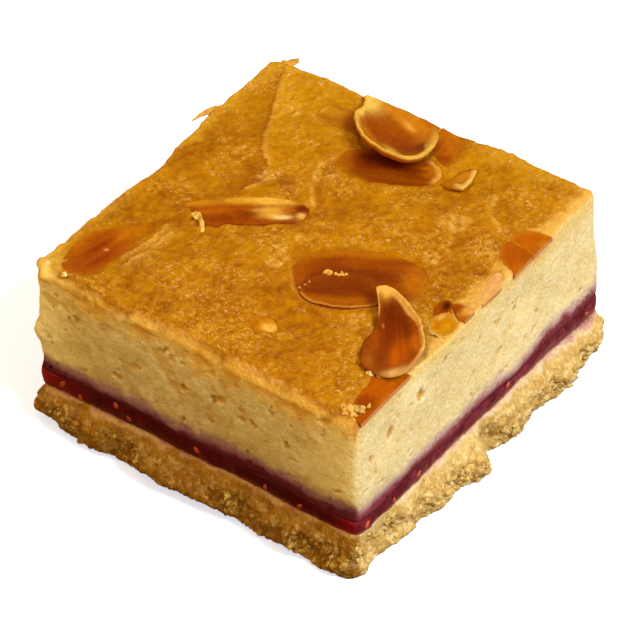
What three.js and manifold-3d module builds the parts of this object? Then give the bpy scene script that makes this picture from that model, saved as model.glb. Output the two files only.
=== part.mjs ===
// A square slice of raspberry and almond cake: a crumbly shortbread base, a layer of raspberry jam,
// an almond sponge with a browned crust, and flaked almonds baked into the crust.
// Millimetres, +Z up, origin under the middle of the base. The two cut faces that meet at the front
// corner face -Y and +X.
import * as THREE from 'three';
import { mergeVertices } from 'three/addons/utils/BufferGeometryUtils.js';
import Module from 'manifold-3d';

// Heights of the layers
const CRUST_HEIGHT = 33.6;
const BASE_THICKNESS = 8.0;
const JAM_TOP = 11.3;

// How far the tops of the base and the jam dip at the corners of the slice, and how they and the crust
// swell: the base rises towards the front corner, and the jam falls away slowly towards the back
const BASE_LEFT_DIP = 0.9;
const BASE_RIGHT_DIP = 0.8;
const BASE_SWELLS = 0.2;
const BASE_RISE = 0.6;
const JAM_LEFT_DIP = 1.2;
const JAM_FALL = 0.012;
const JAM_SWELLS = 0.4;
const CRUST_SWELLS = 0.3;
const CRUST_RIPPLES = 0.16;

// Corners of the slice seen from above, in the order left, front, right, back
const SPONGE_TOP = [[-34.6, -34.8], [32.8, -36.2], [32.3, 36.4], [-34.9, 34.9]];
const SPONGE_FOOT = [[-35.0, -35.3], [33.3, -36.5], [33.4, 37.3], [-35.1, 35.6]];
const BASE_FOOT = [[-35.6, -36.7], [35.1, -38.7], [35.6, 37.7], [-35.8, 37.1]];

// How far the middle of each side of the base swells out past its corners, the crags on it, and the
// places where a piece has broken away or bulges, measured along Y on the right-hand side
const BASE_SWELL = { front: 0.5, right: 0.7, back: 1.1, left: 1.0 };
const CRAG_DEPTH = 0.8;
const CRAGS_ROUND = 64;
const CRAG_HEIGHT = 3.0;
const BREAKS = [
  { along: -29, width: 3.4, depth: 2.0 },
  { along: 1.5, width: 2.6, depth: 1.4 },
  { along: -6, width: 4.0, depth: -0.9 },
];

// How much has crumbled away along the two near sides, as pairs of a place along the side and a depth:
// a depth below zero stands out
const CRUMBLED = {
  right: [[-36, 0.2], [-33, 1.3], [-28, 0.9], [-20, 1.3], [-15, -0.8], [-12, -0.4], [-7, -0.8],
    [-4, -0.4], [-1, 2.0], [3, 0.2], [9, 0.4], [13, -0.3], [18, -1.1], [23, -1.5], [27, -0.7], [32, -0.3]],
  front: [[-34, -0.9], [-28, -0.2], [-20, -1.2], [-16, -0.1], [-6, -0.8], [1, -0.8], [6, -0.4],
    [11, 0.5], [14, 0.5], [17, -0.9], [22, -0.6], [25, -0.1]],
};

// Corners are superellipses: the larger the power, the sharper the corner
const SPONGE_CORNER = 44;
const BASE_CORNER = 22;

// How the crust rolls over the top edge of each side: down the face and in from it
const ROLL_DOWN = { front: 2.6, right: 0.8, back: 1.4, left: 1.4 };
const ROLL_IN = { front: 1.3, right: 0.3, back: 0.7, left: 0.7 };
const ROLL_MIDDLE = 0.45;

// Unevenness of the sponge's faces: its depth, and the number of waves round the slice and up the face
const FACE_RELIEF = 0.45;
const FACE_WAVES_ROUND = 36;
const FACE_WAVES_UP = 3;
const FACE_ROWS = 5;

// Gap between an almond flake and the crust or flake that it is set into
const SET_GAP = 0.3;
const FLAKE_THICKNESS = 1.0;

// Cells along each side of the crust grid, which also fixes the columns around the slice
const CELLS = 24;

// Almond flakes: middle on the crust, height of the middle over the crust, length, width, heading of
// the long axis from +X, roll that lifts the left side, pitch that lifts the leading end, and the rise
// of the rim across and along the flake. A flake at an edge is cut off flush with the slice.
// A flake is listed above the ones that it lies on.
const FLAKES = [
  {
    name: 'flake_curl', at: [-5.2, 29.2], lift: 0.6, length: 22, width: 13.6, heading: -27,
    roll: -12, pitch: 3, cupAcross: 1.2, cupAlong: 0.8, thickness: 1.3, edge: true, color: 0xe0a634,
  },
  {
    name: 'flake_standing', at: [25.6, -15.3], lift: 0.7, length: 20.6, width: 10.6, heading: 127,
    roll: -13, pitch: 5, point: 0.22, cupAcross: 1.3, cupAlong: 1.3, edge: true, color: 0xd5882a,
  },
  {
    name: 'flake_film', at: [11.6, -9.9], lift: 0.5, length: 14.4, width: 8.0, heading: 31,
    roll: 2, thickness: 0.7, color: 0x87460a,
  },
  { name: 'flake_chip_upright', at: [11.2, 26.3], lift: 0.5, length: 8, width: 4.2, heading: 84, roll: -22,
    thickness: 1.2, color: 0xd08a26 },
  { name: 'flake_pane', at: [30.2, -7.9], lift: 0.2, length: 6.8, width: 4.0, heading: 88, roll: 8,
    edge: true, color: 0xd89a18 },
  { name: 'flake_tip', at: [31.0, -2.2], lift: 0.1, length: 5.6, width: 4.2, heading: 95, roll: -10,
    edge: true, color: 0xd0902c },
  { name: 'flake_hollow', at: [27.6, -5.2], lift: -0.4, length: 5.6, width: 2.9, heading: 113, roll: -12,
    color: 0x7e2b02 },
  { name: 'flake_left', at: [-27.7, -24.7], lift: -0.1, length: 20.5, width: 10.6, heading: 81,
    point: 0.12, cupAlong: 0.3, color: 0xa85406 },
  { name: 'flake_sliver', at: [-14.2, -3.2], lift: 0.2, length: 21.8, width: 6.8, heading: 38,
    roll: 9, point: 0.1, cupAlong: 0.5, color: 0xb4640c },
  { name: 'flake_dark', at: [-0.9, 21.1], lift: -0.1, length: 19, width: 10.6, heading: 25.5,
    pitch: 2.5, cupAlong: 0.5, color: 0x7b2802 },
  { name: 'flake_pale', at: [-13.6, 28.0], lift: -0.3, length: 13.6, width: 8, heading: 2, color: 0xb47818 },
  { name: 'flake_back', at: [4.3, 33.0], lift: -0.3, length: 11.6, width: 8, heading: 99,
    edge: true, color: 0xa24204 },
  { name: 'flake_centre', at: [11.4, -6.8], lift: -0.1, length: 24.4, width: 15.6, heading: 29,
    cupAcross: 0.4, point: -0.06, color: 0x96480a },
  { name: 'flake_front', at: [31.0, -27.2], lift: -0.2, length: 13.4, width: 8.4, heading: 80,
    roll: 5, edge: true, color: 0xc05804 },
  { name: 'flake_right_low', at: [30.6, 13.6], lift: 0.1, length: 9.2, width: 6.4, heading: 130,
    edge: true, color: 0xca6b06 },
  { name: 'flake_right_high', at: [29.6, 17.8], lift: -0.2, length: 10.6, width: 7.2, heading: 62,
    edge: true, color: 0xc87010 },
  { name: 'flake_right_sliver', at: [31.3, 4.8], lift: -0.1, length: 8.8, width: 3.2, heading: 105,
    roll: -6, edge: true, color: 0xe0a05c },
  {
    name: 'flake_crumb', at: [5.6, -24.9], lift: -0.1, length: 5.2, width: 4.0, heading: -20, color: 0xd8a030,
  },
];

const FLAKE_COLUMNS = 18;
const FLAKE_RINGS = [0.45, 0.8, 1];
const FLAKE_RIM = 0.7;

const CRUMB = 0xdcc07a;
const SHORTBREAD = 0xc49a50;
const JAM = 0x66101c;

const wasm = await Module();
wasm.setup();

function smoothStep(low, high, value) {
  const t = Math.min(Math.max((value - low) / (high - low), 0), 1);
  return t * t * (3 - 2 * t);
}

// Repeatable value noise on a unit lattice, from -1 to 1
function latticeValue(i, j) {
  const wave = Math.sin(i * 127.1 + j * 311.7) * 43758.5453;
  return 2 * (wave - Math.floor(wave)) - 1;
}

// Noise that closes on itself: turn goes from 0 to 1 round the slice, with a lump at each of the places
function crumbNoise(turn, places, height) {
  const i = Math.floor(turn * places);
  const j = Math.floor(height);
  const s = smoothStep(0, 1, turn * places - i);
  const t = smoothStep(0, 1, height - j);
  const next = (i + 1) % places;
  const low = latticeValue(i % places, j) * (1 - s) + latticeValue(next, j) * s;
  const high = latticeValue(i % places, j + 1) * (1 - s) + latticeValue(next, j + 1) * s;
  return low * (1 - t) + high * t;
}

// Top of the base: it dips at the left and right corners of the slice and rises between them
function baseTop(x, y) {
  const leftDip = BASE_LEFT_DIP * smoothStep(22, 34, -x) * smoothStep(0, 34, -y);
  const rightDip = BASE_RIGHT_DIP * smoothStep(20, 36, y) * smoothStep(0, 32, x);
  const frontRise = smoothStep(-6, 4, x) * smoothStep(22, 34, -y);
  const rightRise = smoothStep(20, 32, x) * smoothStep(-18, -10, -y);
  const rise = BASE_RISE * Math.max(frontRise, rightRise);
  return BASE_THICKNESS - leftDip - rightDip + rise + BASE_SWELLS * Math.sin(0.3 * x + 0.22 * y);
}

// Top of the jam: it dips with the base at the left corner and waves along the cut faces
function jamTop(x, y) {
  const leftDip = JAM_LEFT_DIP * smoothStep(24, 35, -x) * smoothStep(0, 34, -y);
  return JAM_TOP - leftDip - JAM_FALL * y + JAM_SWELLS * Math.sin(0.24 * x - 0.31 * y);
}

// Low swells of the crust
function crustTop(x, y) {
  const swell = CRUST_SWELLS * Math.sin(0.17 * x + 0.6) * Math.cos(0.15 * y - 0.4);
  const ripple = CRUST_RIPPLES * Math.sin(0.37 * x - 0.29 * y + 1.1);
  return CRUST_HEIGHT + swell + ripple;
}

// Places on a square from -1 to 1, a little closer together near its edges
const EDGE_CROWDING = 0.08;

function cellLine(i) {
  const t = (2 * i) / CELLS - 1;
  return t + EDGE_CROWDING * Math.sin(Math.PI * t);
}

function squareRim() {
  const rim = [];
  for (let i = 0; i < CELLS; i++) rim.push([cellLine(i), -1]);
  for (let i = 0; i < CELLS; i++) rim.push([1, cellLine(i)]);
  for (let i = 0; i < CELLS; i++) rim.push([-cellLine(i), 1]);
  for (let i = 0; i < CELLS; i++) rim.push([-1, -cellLine(i)]);
  return rim;
}

const RIM = squareRim();

// A place on the square becomes a place in the slice with the given corners
function slicePoint(u, v, corners, power) {
  const reach = Math.max(Math.abs(u), Math.abs(v));
  const round = (Math.abs(u) ** power + Math.abs(v) ** power) ** (1 / power);
  const s = reach > 0 ? (1 + (u * reach) / round) / 2 : 0.5;
  const t = reach > 0 ? (1 + (v * reach) / round) / 2 : 0.5;
  const [left, front, right, back] = corners;
  return [0, 1].map((k) => (
    (left[k] * (1 - s) + front[k] * s) * (1 - t) + (back[k] * (1 - s) + right[k] * s) * t
  ));
}

// How far round the slice a place on the square's rim is, from 0 at the left corner to 1
function turnAt(u, v) {
  if (v === -1) return (u + 1) / 8;
  if (u === 1) return (v + 3) / 8;
  if (v === 1) return (5 - u) / 8;
  return (7 - v) / 8;
}

// Outward direction of the rim at a place on the square
function outward(u, v, power) {
  const nx = Math.sign(u) * Math.abs(u) ** (power - 1);
  const ny = Math.sign(v) * Math.abs(v) ** (power - 1);
  const size = Math.hypot(nx, ny);
  return [nx / size, ny / size];
}

// A size that differs between the four sides, taken at an outward direction
function bySide(sizes, [nx, ny]) {
  const acrossX = nx > 0 ? sizes.right : sizes.left;
  const acrossY = ny > 0 ? sizes.back : sizes.front;
  return acrossX * nx * nx + acrossY * ny * ny;
}

function blendCorners(low, high, t) {
  return low.map((corner, i) => corner.map((c, k) => c + (high[i][k] - c) * t));
}

// One closed skin: rings of equal count joined from the bottom to the top
class Skin {
  constructor() {
    this.points = [];
    this.faces = [];
  }

  ring(points) {
    const start = this.points.length;
    this.points.push(...points);
    return { start, count: points.length };
  }

  // Quads from ring a to ring b, which lies above it or inside it on a top face
  join(a, b) {
    for (let i = 0; i < a.count; i++) {
      const n = (i + 1) % a.count;
      this.faces.push([a.start + i, a.start + n, b.start + n]);
      this.faces.push([a.start + i, b.start + n, b.start + i]);
    }
  }

  // The same quads facing down, split along the same diagonals
  joinDown(a, b) {
    for (let i = 0; i < a.count; i++) {
      const n = (i + 1) % a.count;
      this.faces.push([a.start + i, b.start + n, a.start + n]);
      this.faces.push([a.start + i, b.start + i, b.start + n]);
    }
  }

  fan(ring, middle, facesDown = false) {
    const tip = this.ring([middle]).start;
    for (let i = 0; i < ring.count; i++) {
      const n = (i + 1) % ring.count;
      const [first, second] = facesDown ? [n, i] : [i, n];
      this.faces.push([tip, ring.start + first, ring.start + second]);
    }
  }

  geometry() {
    const geometry = new THREE.BufferGeometry();
    geometry.setAttribute('position', new THREE.Float32BufferAttribute(this.points.flat(), 3));
    geometry.setIndex(this.faces.flat());
    return geometry;
  }
}

// Where two layers meet: a rim ring, a ring inside it and a middle, shared by both layers
const INNER_RING = 0.6;

function meetingFace(corners, height) {
  const place = (u, v) => {
    const [x, y] = slicePoint(u, v, corners, SPONGE_CORNER);
    return [x, y, height(x, y)];
  };
  return {
    rim: RIM.map(([u, v]) => place(u, v)),
    inner: RIM.map(([u, v]) => place(u * INNER_RING, v * INNER_RING)),
    middle: place(0, 0),
  };
}

const JAM_FLOOR = meetingFace(SPONGE_FOOT, baseTop);
const JAM_ROOF = meetingFace(SPONGE_FOOT, jamTop);

function closeTop(skin, rim, face) {
  const inner = skin.ring(face.inner);
  skin.join(rim, inner);
  skin.fan(inner, face.middle);
}

function openBottom(skin, face) {
  const rim = skin.ring(face.rim);
  const inner = skin.ring(face.inner);
  skin.joinDown(rim, inner);
  skin.fan(inner, face.middle, true);
  return rim;
}

// Base: side rows from the floor up, each with its height and how far it stands in from the widest row
const BASE_ROWS = [
  { z: 0, inset: 0.8, crag: 0.6 },
  { z: 0.9, inset: 0.2, crag: 0.9 },
  { z: 2.4, inset: 0.0, crag: 1.0 },
  { z: 4.0, inset: 0.0, crag: 1.0 },
  { z: 5.6, inset: 0.3, crag: 0.8 },
  { z: 6.7, inset: 1.0, crag: 0.4 },
];

// The depth at a place, on straight lines between the pairs
function depthAt(pairs, place) {
  const next = pairs.findIndex(([at]) => at > place);
  if (next === -1) return pairs[pairs.length - 1][1];
  if (next === 0) return pairs[0][1];
  const [[lowAt, low], [highAt, high]] = [pairs[next - 1], pairs[next]];
  return low + ((high - low) * (place - lowAt)) / (highAt - lowAt);
}

// What has broken away from the right-hand side at a place along Y
function brokenAway(y) {
  return BREAKS.reduce((sum, { along, width, depth }) => (
    sum + depth * Math.exp(-(((y - along) / width) ** 2))
  ), 0);
}

function baseRow(row) {
  return RIM.map(([u, v]) => {
    const [x, y] = slicePoint(u, v, BASE_FOOT, BASE_CORNER);
    const out = outward(u, v, BASE_CORNER);
    const along = Math.abs(u) < Math.abs(v) ? u : v;
    const swell = bySide(BASE_SWELL, out) * (1 - along * along);
    const crag = CRAG_DEPTH * crumbNoise(turnAt(u, v), CRAGS_ROUND, row.z / CRAG_HEIGHT);
    const nearRight = smoothStep(0.6, 0.95, out[0]) * depthAt(CRUMBLED.right, y);
    const nearFront = smoothStep(0.6, 0.95, -out[1]) * depthAt(CRUMBLED.front, x);
    const broken = (u === 1 ? brokenAway(y) : 0) + nearRight + nearFront;
    const shift = swell + (crag - broken) * row.crag - row.inset;
    return [x + out[0] * shift, y + out[1] * shift, row.z];
  });
}

function makeBase() {
  const skin = new Skin();
  const rows = BASE_ROWS.map((row) => skin.ring(baseRow(row)));
  skin.fan(rows[0], [0, 0, 0], true);
  for (let i = 1; i < rows.length; i++) skin.join(rows[i - 1], rows[i]);
  const rim = skin.ring(JAM_FLOOR.rim);
  skin.join(rows[rows.length - 1], rim);
  closeTop(skin, rim, JAM_FLOOR);
  return skin.geometry();
}

// Jam: squeezed out a little between the base and the sponge
const JAM_BULGE = 0.25;

function makeJam() {
  const skin = new Skin();
  const floor = openBottom(skin, JAM_FLOOR);
  const bulge = skin.ring(RIM.map(([u, v], i) => {
    const out = outward(u, v, SPONGE_CORNER);
    const low = JAM_FLOOR.rim[i];
    const high = JAM_ROOF.rim[i];
    return [0, 1].map((k) => (low[k] + high[k]) / 2 + out[k] * JAM_BULGE).concat((low[2] + high[2]) / 2);
  }));
  const roof = skin.ring(JAM_ROOF.rim);
  skin.join(floor, bulge);
  skin.join(bulge, roof);
  closeTop(skin, roof, JAM_ROOF);
  return skin.geometry();
}

// Sponge: cut faces with a shallow unevenness, a rolled edge and the crust above
function faceRelief(u, v, level) {
  return FACE_RELIEF * crumbNoise(turnAt(u, v), FACE_WAVES_ROUND, level * FACE_WAVES_UP);
}

function spongeRow(level) {
  return RIM.map(([u, v], i) => {
    const out = outward(u, v, SPONGE_CORNER);
    const foot = JAM_ROOF.rim[i];
    const shoulder = CRUST_HEIGHT - bySide(ROLL_DOWN, out);
    const [x, y] = slicePoint(u, v, blendCorners(SPONGE_FOOT, SPONGE_TOP, level), SPONGE_CORNER);
    const relief = faceRelief(u, v, level);
    return [x + out[0] * relief, y + out[1] * relief, foot[2] + (shoulder - foot[2]) * level];
  });
}

// The rim of the crust stands in from the face by the given share of the roll
function rollPoint(u, v, share) {
  const [x, y] = slicePoint(u, v, SPONGE_TOP, SPONGE_CORNER);
  const out = outward(u, v, SPONGE_CORNER);
  const shift = faceRelief(u, v, 1) - bySide(ROLL_IN, out) * share;
  const drop = bySide(ROLL_DOWN, out) * (1 - share) ** 2;
  const px = x + out[0] * shift;
  const py = y + out[1] * shift;
  return [px, py, crustTop(px, py) - drop];
}

function makeSponge() {
  const skin = new Skin();
  let below = openBottom(skin, JAM_ROOF);
  for (let row = 1; row <= FACE_ROWS; row++) {
    const next = skin.ring(spongeRow(row / FACE_ROWS));
    skin.join(below, next);
    below = next;
  }
  const roll = skin.ring(RIM.map(([u, v]) => rollPoint(u, v, ROLL_MIDDLE)));
  skin.join(below, roll);
  const edge = skin.ring(RIM.map(([u, v]) => rollPoint(u, v, 1)));
  skin.join(roll, edge);
  // The crust: a grid whose outer places are the edge ring
  const grid = [];
  for (let j = 0; j <= CELLS; j++) {
    for (let i = 0; i <= CELLS; i++) {
      grid.push(crustIndex(skin, edge, i, j));
    }
  }
  for (let j = 0; j < CELLS; j++) {
    for (let i = 0; i < CELLS; i++) {
      const a = j * (CELLS + 1) + i;
      const c = a + CELLS + 1;
      skin.faces.push([grid[a], grid[a + 1], grid[c + 1]]);
      skin.faces.push([grid[a], grid[c + 1], grid[c]]);
    }
  }
  return skin.geometry();
}

function crustIndex(skin, edge, i, j) {
  if (j === 0) return edge.start + i;
  if (i === CELLS) return edge.start + CELLS + j;
  if (j === CELLS) return edge.start + 3 * CELLS - i;
  if (i === 0) return edge.start + 4 * CELLS - j;
  const u = cellLine(i);
  const v = cellLine(j);
  const reach = Math.max(Math.abs(u), Math.abs(v));
  const middle = slicePoint(0, 0, SPONGE_TOP, SPONGE_CORNER);
  const rim = reach > 0 ? rollPoint(u / reach, v / reach, 1) : middle;
  const x = middle[0] + (rim[0] - middle[0]) * reach;
  const y = middle[1] + (rim[1] - middle[1]) * reach;
  return skin.ring([[x, y, crustTop(x, y)]]).start;
}

// One almond flake about its own middle: an egg outline, cupped, with the same split on both faces.
// grow makes it larger all round, and clearance raises its upper face, to cut room for it.
function flakeGeometry(flake, grow = 0, clearance = 0) {
  const half = (flake.thickness ?? FLAKE_THICKNESS) / 2;
  const point = flake.point ?? 0;
  const place = (ring, angle, side) => {
    const u = ring * Math.cos(angle);
    const v = ring * Math.sin(angle) * (1 - point * Math.cos(angle));
    const cup = (flake.cupAcross ?? 0) * v * v + (flake.cupAlong ?? 0) * u * u;
    const rim = ring < 1 ? 1 : FLAKE_RIM;
    const skinHeight = side > 0 ? half * rim + grow + clearance : -half * rim - grow;
    return [u * (flake.length / 2 + grow), v * (flake.width / 2 + grow), cup + skinHeight];
  };
  const skin = new Skin();
  const angles = Array.from({ length: FLAKE_COLUMNS }, (_, i) => (2 * Math.PI * i) / FLAKE_COLUMNS);
  const face = (side) => FLAKE_RINGS.map((ring) => skin.ring(angles.map((angle) => place(ring, angle, side))));
  const upper = face(1);
  const lower = face(-1);
  for (let i = 1; i < FLAKE_RINGS.length; i++) {
    skin.join(upper[i], upper[i - 1]);
    skin.joinDown(lower[i], lower[i - 1]);
  }
  skin.fan(upper[0], place(0, 0, 1));
  skin.fan(lower[0], place(0, 0, -1), true);
  skin.join(lower[FLAKE_RINGS.length - 1], upper[FLAKE_RINGS.length - 1]);
  return skin.geometry();
}

// Solids for cutting, in the frame of the whole slice
function toSolid(geometry, matrix = new THREE.Matrix4()) {
  const placed = geometry.clone().applyMatrix4(matrix);
  placed.deleteAttribute('normal');
  placed.deleteAttribute('uv');
  const merged = mergeVertices(placed);
  return new wasm.Manifold(new wasm.Mesh({
    numProp: 3,
    vertProperties: new Float32Array(merged.attributes.position.array),
    triVerts: new Uint32Array(merged.index.array),
  }));
}

function toGeometry(solid) {
  const mesh = solid.getMesh();
  const geometry = new THREE.BufferGeometry();
  geometry.setAttribute('position', new THREE.Float32BufferAttribute(mesh.vertProperties, 3));
  geometry.setIndex(Array.from(mesh.triVerts));
  return geometry;
}

// The slice drawn upwards past its crust, to cut off the flakes that the knife went through
const KNIFE_HEIGHT = 20;

function makeEnvelope() {
  const skin = new Skin();
  const rim = RIM.map(([u, v]) => slicePoint(u, v, SPONGE_TOP, SPONGE_CORNER));
  const middle = slicePoint(0, 0, SPONGE_TOP, SPONGE_CORNER);
  const low = skin.ring(rim.map(([x, y]) => [x, y, CRUST_HEIGHT - KNIFE_HEIGHT]));
  const high = skin.ring(rim.map(([x, y]) => [x, y, CRUST_HEIGHT + KNIFE_HEIGHT]));
  skin.fan(low, [...middle, CRUST_HEIGHT - KNIFE_HEIGHT], true);
  skin.join(low, high);
  skin.fan(high, [...middle, CRUST_HEIGHT + KNIFE_HEIGHT]);
  return skin.geometry();
}

function bakedMaterial(color, roughness) {
  return new THREE.MeshStandardMaterial({ color, roughness, metalness: 0 });
}

const cake = new THREE.Group();

const base = new THREE.Mesh(makeBase(), bakedMaterial(SHORTBREAD, 0.9));
base.name = 'shortbread_base';
const jam = new THREE.Mesh(makeJam(), bakedMaterial(JAM, 0.35));
jam.name = 'raspberry_jam';
const sponge = new THREE.Mesh(makeSponge(), bakedMaterial(CRUMB, 0.85));
sponge.name = 'almond_sponge';
cake.add(base, jam, sponge);

// The topping sits at crust height, so that a flake's own height is measured from the crust
const topping = new THREE.Group();
topping.position.z = CRUST_HEIGHT;
cake.add(topping);

// Each flake is trimmed to the slice and cut round the flakes above it, then sunk into the sponge
const CUT_CLEARANCE = 4;
const envelope = toSolid(makeEnvelope());
const setFlakes = [];
let spongeSolid = toSolid(sponge.geometry);

for (const flake of FLAKES) {
  const mesh = new THREE.Mesh(flakeGeometry(flake), bakedMaterial(flake.color, 0.4));
  mesh.name = flake.name;
  mesh.position.set(flake.at[0], flake.at[1], flake.lift);
  mesh.rotation.set(
    THREE.MathUtils.degToRad(flake.roll ?? 0),
    THREE.MathUtils.degToRad(-(flake.pitch ?? 0)),
    THREE.MathUtils.degToRad(flake.heading),
    'ZYX',
  );
  topping.add(mesh);
  mesh.updateWorldMatrix(true, false);
  let solid = toSolid(mesh.geometry, mesh.matrixWorld);
  if (flake.edge) solid = solid.intersect(envelope);
  for (const upper of setFlakes) solid = solid.subtract(upper);
  mesh.geometry = toGeometry(solid).applyMatrix4(mesh.matrixWorld.clone().invert());
  setFlakes.push(toSolid(flakeGeometry(flake, SET_GAP), mesh.matrixWorld));
  spongeSolid = spongeSolid.subtract(toSolid(flakeGeometry(flake, SET_GAP, CUT_CLEARANCE), mesh.matrixWorld));
}

sponge.geometry = toGeometry(spongeSolid);

export default cake;
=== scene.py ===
import math
from types import SimpleNamespace

import bmesh
import bpy
import numpy as np
from mathutils import Matrix, Vector


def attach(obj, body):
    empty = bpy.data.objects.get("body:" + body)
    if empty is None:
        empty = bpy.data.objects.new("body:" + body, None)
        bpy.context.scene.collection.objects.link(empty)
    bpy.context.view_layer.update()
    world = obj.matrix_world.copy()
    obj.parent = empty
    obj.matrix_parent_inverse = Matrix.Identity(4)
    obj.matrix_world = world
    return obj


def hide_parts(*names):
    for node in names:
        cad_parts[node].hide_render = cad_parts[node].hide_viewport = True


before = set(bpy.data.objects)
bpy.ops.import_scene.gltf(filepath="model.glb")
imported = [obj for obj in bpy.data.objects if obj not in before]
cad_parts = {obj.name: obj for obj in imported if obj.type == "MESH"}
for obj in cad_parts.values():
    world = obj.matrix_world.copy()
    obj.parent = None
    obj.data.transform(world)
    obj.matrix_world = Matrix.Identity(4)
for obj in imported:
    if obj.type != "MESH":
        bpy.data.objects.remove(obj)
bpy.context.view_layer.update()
scene = bpy.context.scene
mm = 0.001

# the slice in millimetres, as in the solids: corners run left, front, right, back
crustHeight = 33.6
spongeTop = np.array([[-34.6, -34.8], [32.8, -36.2], [32.3, 36.4], [-34.9, 34.9]])
spongeFoot = np.array([[-35.0, -35.3], [33.3, -36.5], [33.4, 37.3], [-35.1, 35.6]])
baseFoot = np.array([[-35.6, -36.7], [35.1, -38.7], [35.6, 37.7], [-35.8, 37.1]])
spongeCorner, baseCorner = 44, 22    # the higher, the sharper the corners
rollDown = {"front": 2.6, "right": 0.8, "back": 1.4, "left": 1.4}
rollIn = {"front": 1.4, "right": 0.35, "back": 0.7, "left": 0.7}
baseSwell = {"front": 0.5, "right": 0.7, "back": 1.1, "left": 1.0}


# a shade picked on screen, 0 to 255, as linear light
def tone(r, g, b):
    c = np.array([r, g, b]) / 255
    return np.where(c <= 0.04045, c / 12.92, ((c + 0.055) / 1.055) ** 2.4)


def smooth(low, high, x):
    t = np.clip((x - low) / (high - low), 0, 1)
    return t * t * (3 - 2 * t)


def bell(x, middle, width):
    return np.exp(-((x - middle) / width) ** 2)


def blend(a, b, t):
    return a + (b - a) * np.asarray(t)[..., None]


def between(shadeA, shadeB, t):
    return blend(tone(*shadeA), tone(*shadeB), t)


def dye(colour, shade, amount):
    return blend(colour, tone(*shade), amount)


# degrees round from a middle direction, -180 to 180
def turnFrom(angle, middle):
    return (np.degrees(angle) - middle + 180) % 360 - 180


# a fixed random number for each cell of space
def lattice(i, j, k, seed):
    h = (i * 73856093) ^ (j * 19349663) ^ (k * 83492791) ^ (seed * 40503 + 977)
    h = ((h ^ (h >> 13)) * 1274126177) & 0xFFFFFFFF
    h = ((h ^ (h >> 15)) * 668265263) & 0xFFFFFFFF
    return ((h ^ (h >> 14)) & 0xFFFFF) / 0xFFFFF


# smooth noise from -1 to 1 with lumps about size mm across
def cloud(p, size, seed):
    q = p / size
    c = np.floor(q).astype(np.int64)
    f = q - c
    f = f * f * f * (f * (f * 6 - 15) + 10)
    total = np.zeros(len(p))
    for dx in (0, 1):
        wx = f[:, 0] if dx else 1 - f[:, 0]
        for dy in (0, 1):
            wy = f[:, 1] if dy else 1 - f[:, 1]
            for dz in (0, 1):
                wz = f[:, 2] if dz else 1 - f[:, 2]
                total += wx * wy * wz * lattice(c[:, 0] + dx, c[:, 1] + dy, c[:, 2] + dz, seed)
    return total * 2 - 1


# layers of noise, each with its amount, size and seed
def clouds(p, *layers):
    return sum(amount * cloud(p, size, seed) for amount, size, seed in layers)


# distance to the nearest and next of scattered points, and a random number of the nearest
def grains(p, size, seed):
    q = p / size
    c = np.floor(q).astype(np.int64)
    first = np.full(len(p), 9.0)
    second = np.full(len(p), 9.0)
    own = np.zeros(len(p))
    for dx in (-1, 0, 1):
        for dy in (-1, 0, 1):
            for dz in (-1, 0, 1):
                cell = (c[:, 0] + dx, c[:, 1] + dy, c[:, 2] + dz)
                at = np.stack([cell[n] + lattice(*cell, seed + n) for n in range(3)], 1)
                d = np.linalg.norm(q - at, axis=1)
                closer = d < first
                second = np.where(closer, first, np.minimum(second, d))
                own = np.where(closer, lattice(*cell, seed + 3), own)
                first = np.minimum(first, d)
    return first, second, own


# crags round the slice, the same as in the solids
def wave(i, j):
    s = np.sin(i * 127.1 + j * 311.7) * 43758.5453
    return 2 * (s - np.floor(s)) - 1


def crumbNoise(turn, places, height):
    i, j = np.floor(turn * places), np.floor(height)
    s = smooth(0, 1, turn * places - i)
    t = smooth(0, 1, height - j)
    a, b = i % places, (i + 1) % places
    low = wave(a, j) * (1 - s) + wave(b, j) * s
    high = wave(a, j + 1) * (1 - s) + wave(b, j + 1) * s
    return low * (1 - t) + high * t


# heights of the layers
def baseTop(x, y):
    dip = 0.9 * smooth(22, 34, -x) * smooth(0, 34, -y) + 0.8 * smooth(20, 36, y) * smooth(0, 32, x)
    rise = np.maximum(smooth(-6, 4, x) * smooth(-22, -34, y), smooth(20, 32, x) * smooth(18, 10, y))
    return 8.0 - dip + 0.6 * rise + 0.2 * np.sin(0.3 * x + 0.22 * y)


def jamTop(x, y):
    dip = 1.2 * smooth(24, 35, -x) * smooth(0, 34, -y)
    return 11.3 - dip - 0.012 * y + 0.4 * np.sin(0.24 * x - 0.31 * y)


def crustTop(x, y):
    swell = 0.3 * np.sin(0.17 * x + 0.6) * np.cos(0.15 * y - 0.4) + 0.16 * np.sin(0.37 * x - 0.29 * y + 1.1)
    behind = 0.8 * bell(x, 15, 7) * smooth(28, 36, y) - 0.7 * bell(x, 3.5, 3.5) * smooth(30, 36, y)
    return crustHeight + swell + behind


# the outline of the slice as a square of u and v from -1 to 1
def squareRim(cellsX, cellsY):
    lineX, lineY = np.linspace(-1, 1, cellsX + 1), np.linspace(-1, 1, cellsY + 1)
    u = np.concatenate([lineX[:-1], np.ones(cellsY), -lineX[:-1], -np.ones(cellsY)])
    v = np.concatenate([-np.ones(cellsX), lineY[:-1], np.ones(cellsX), -lineY[:-1]])
    return u, v


def slicePoint(u, v, corners, power):
    reach = np.maximum(np.maximum(abs(u), abs(v)), 1e-9)
    rounded = np.maximum((abs(u / reach) ** power + abs(v / reach) ** power) ** (1 / power), 1)
    s, t = (1 + u / rounded) / 2, (1 + v / rounded) / 2
    left, front, right, back = corners
    return blend(left, front, s) * (1 - t)[..., None] + blend(back, right, s) * t[..., None]


def turnAt(u, v):
    sides = [v <= -0.999999, u >= 0.999999, v >= 0.999999]
    return np.select(sides, [(u + 1) / 8, (v + 3) / 8, (5 - u) / 8], (7 - v) / 8)


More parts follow.
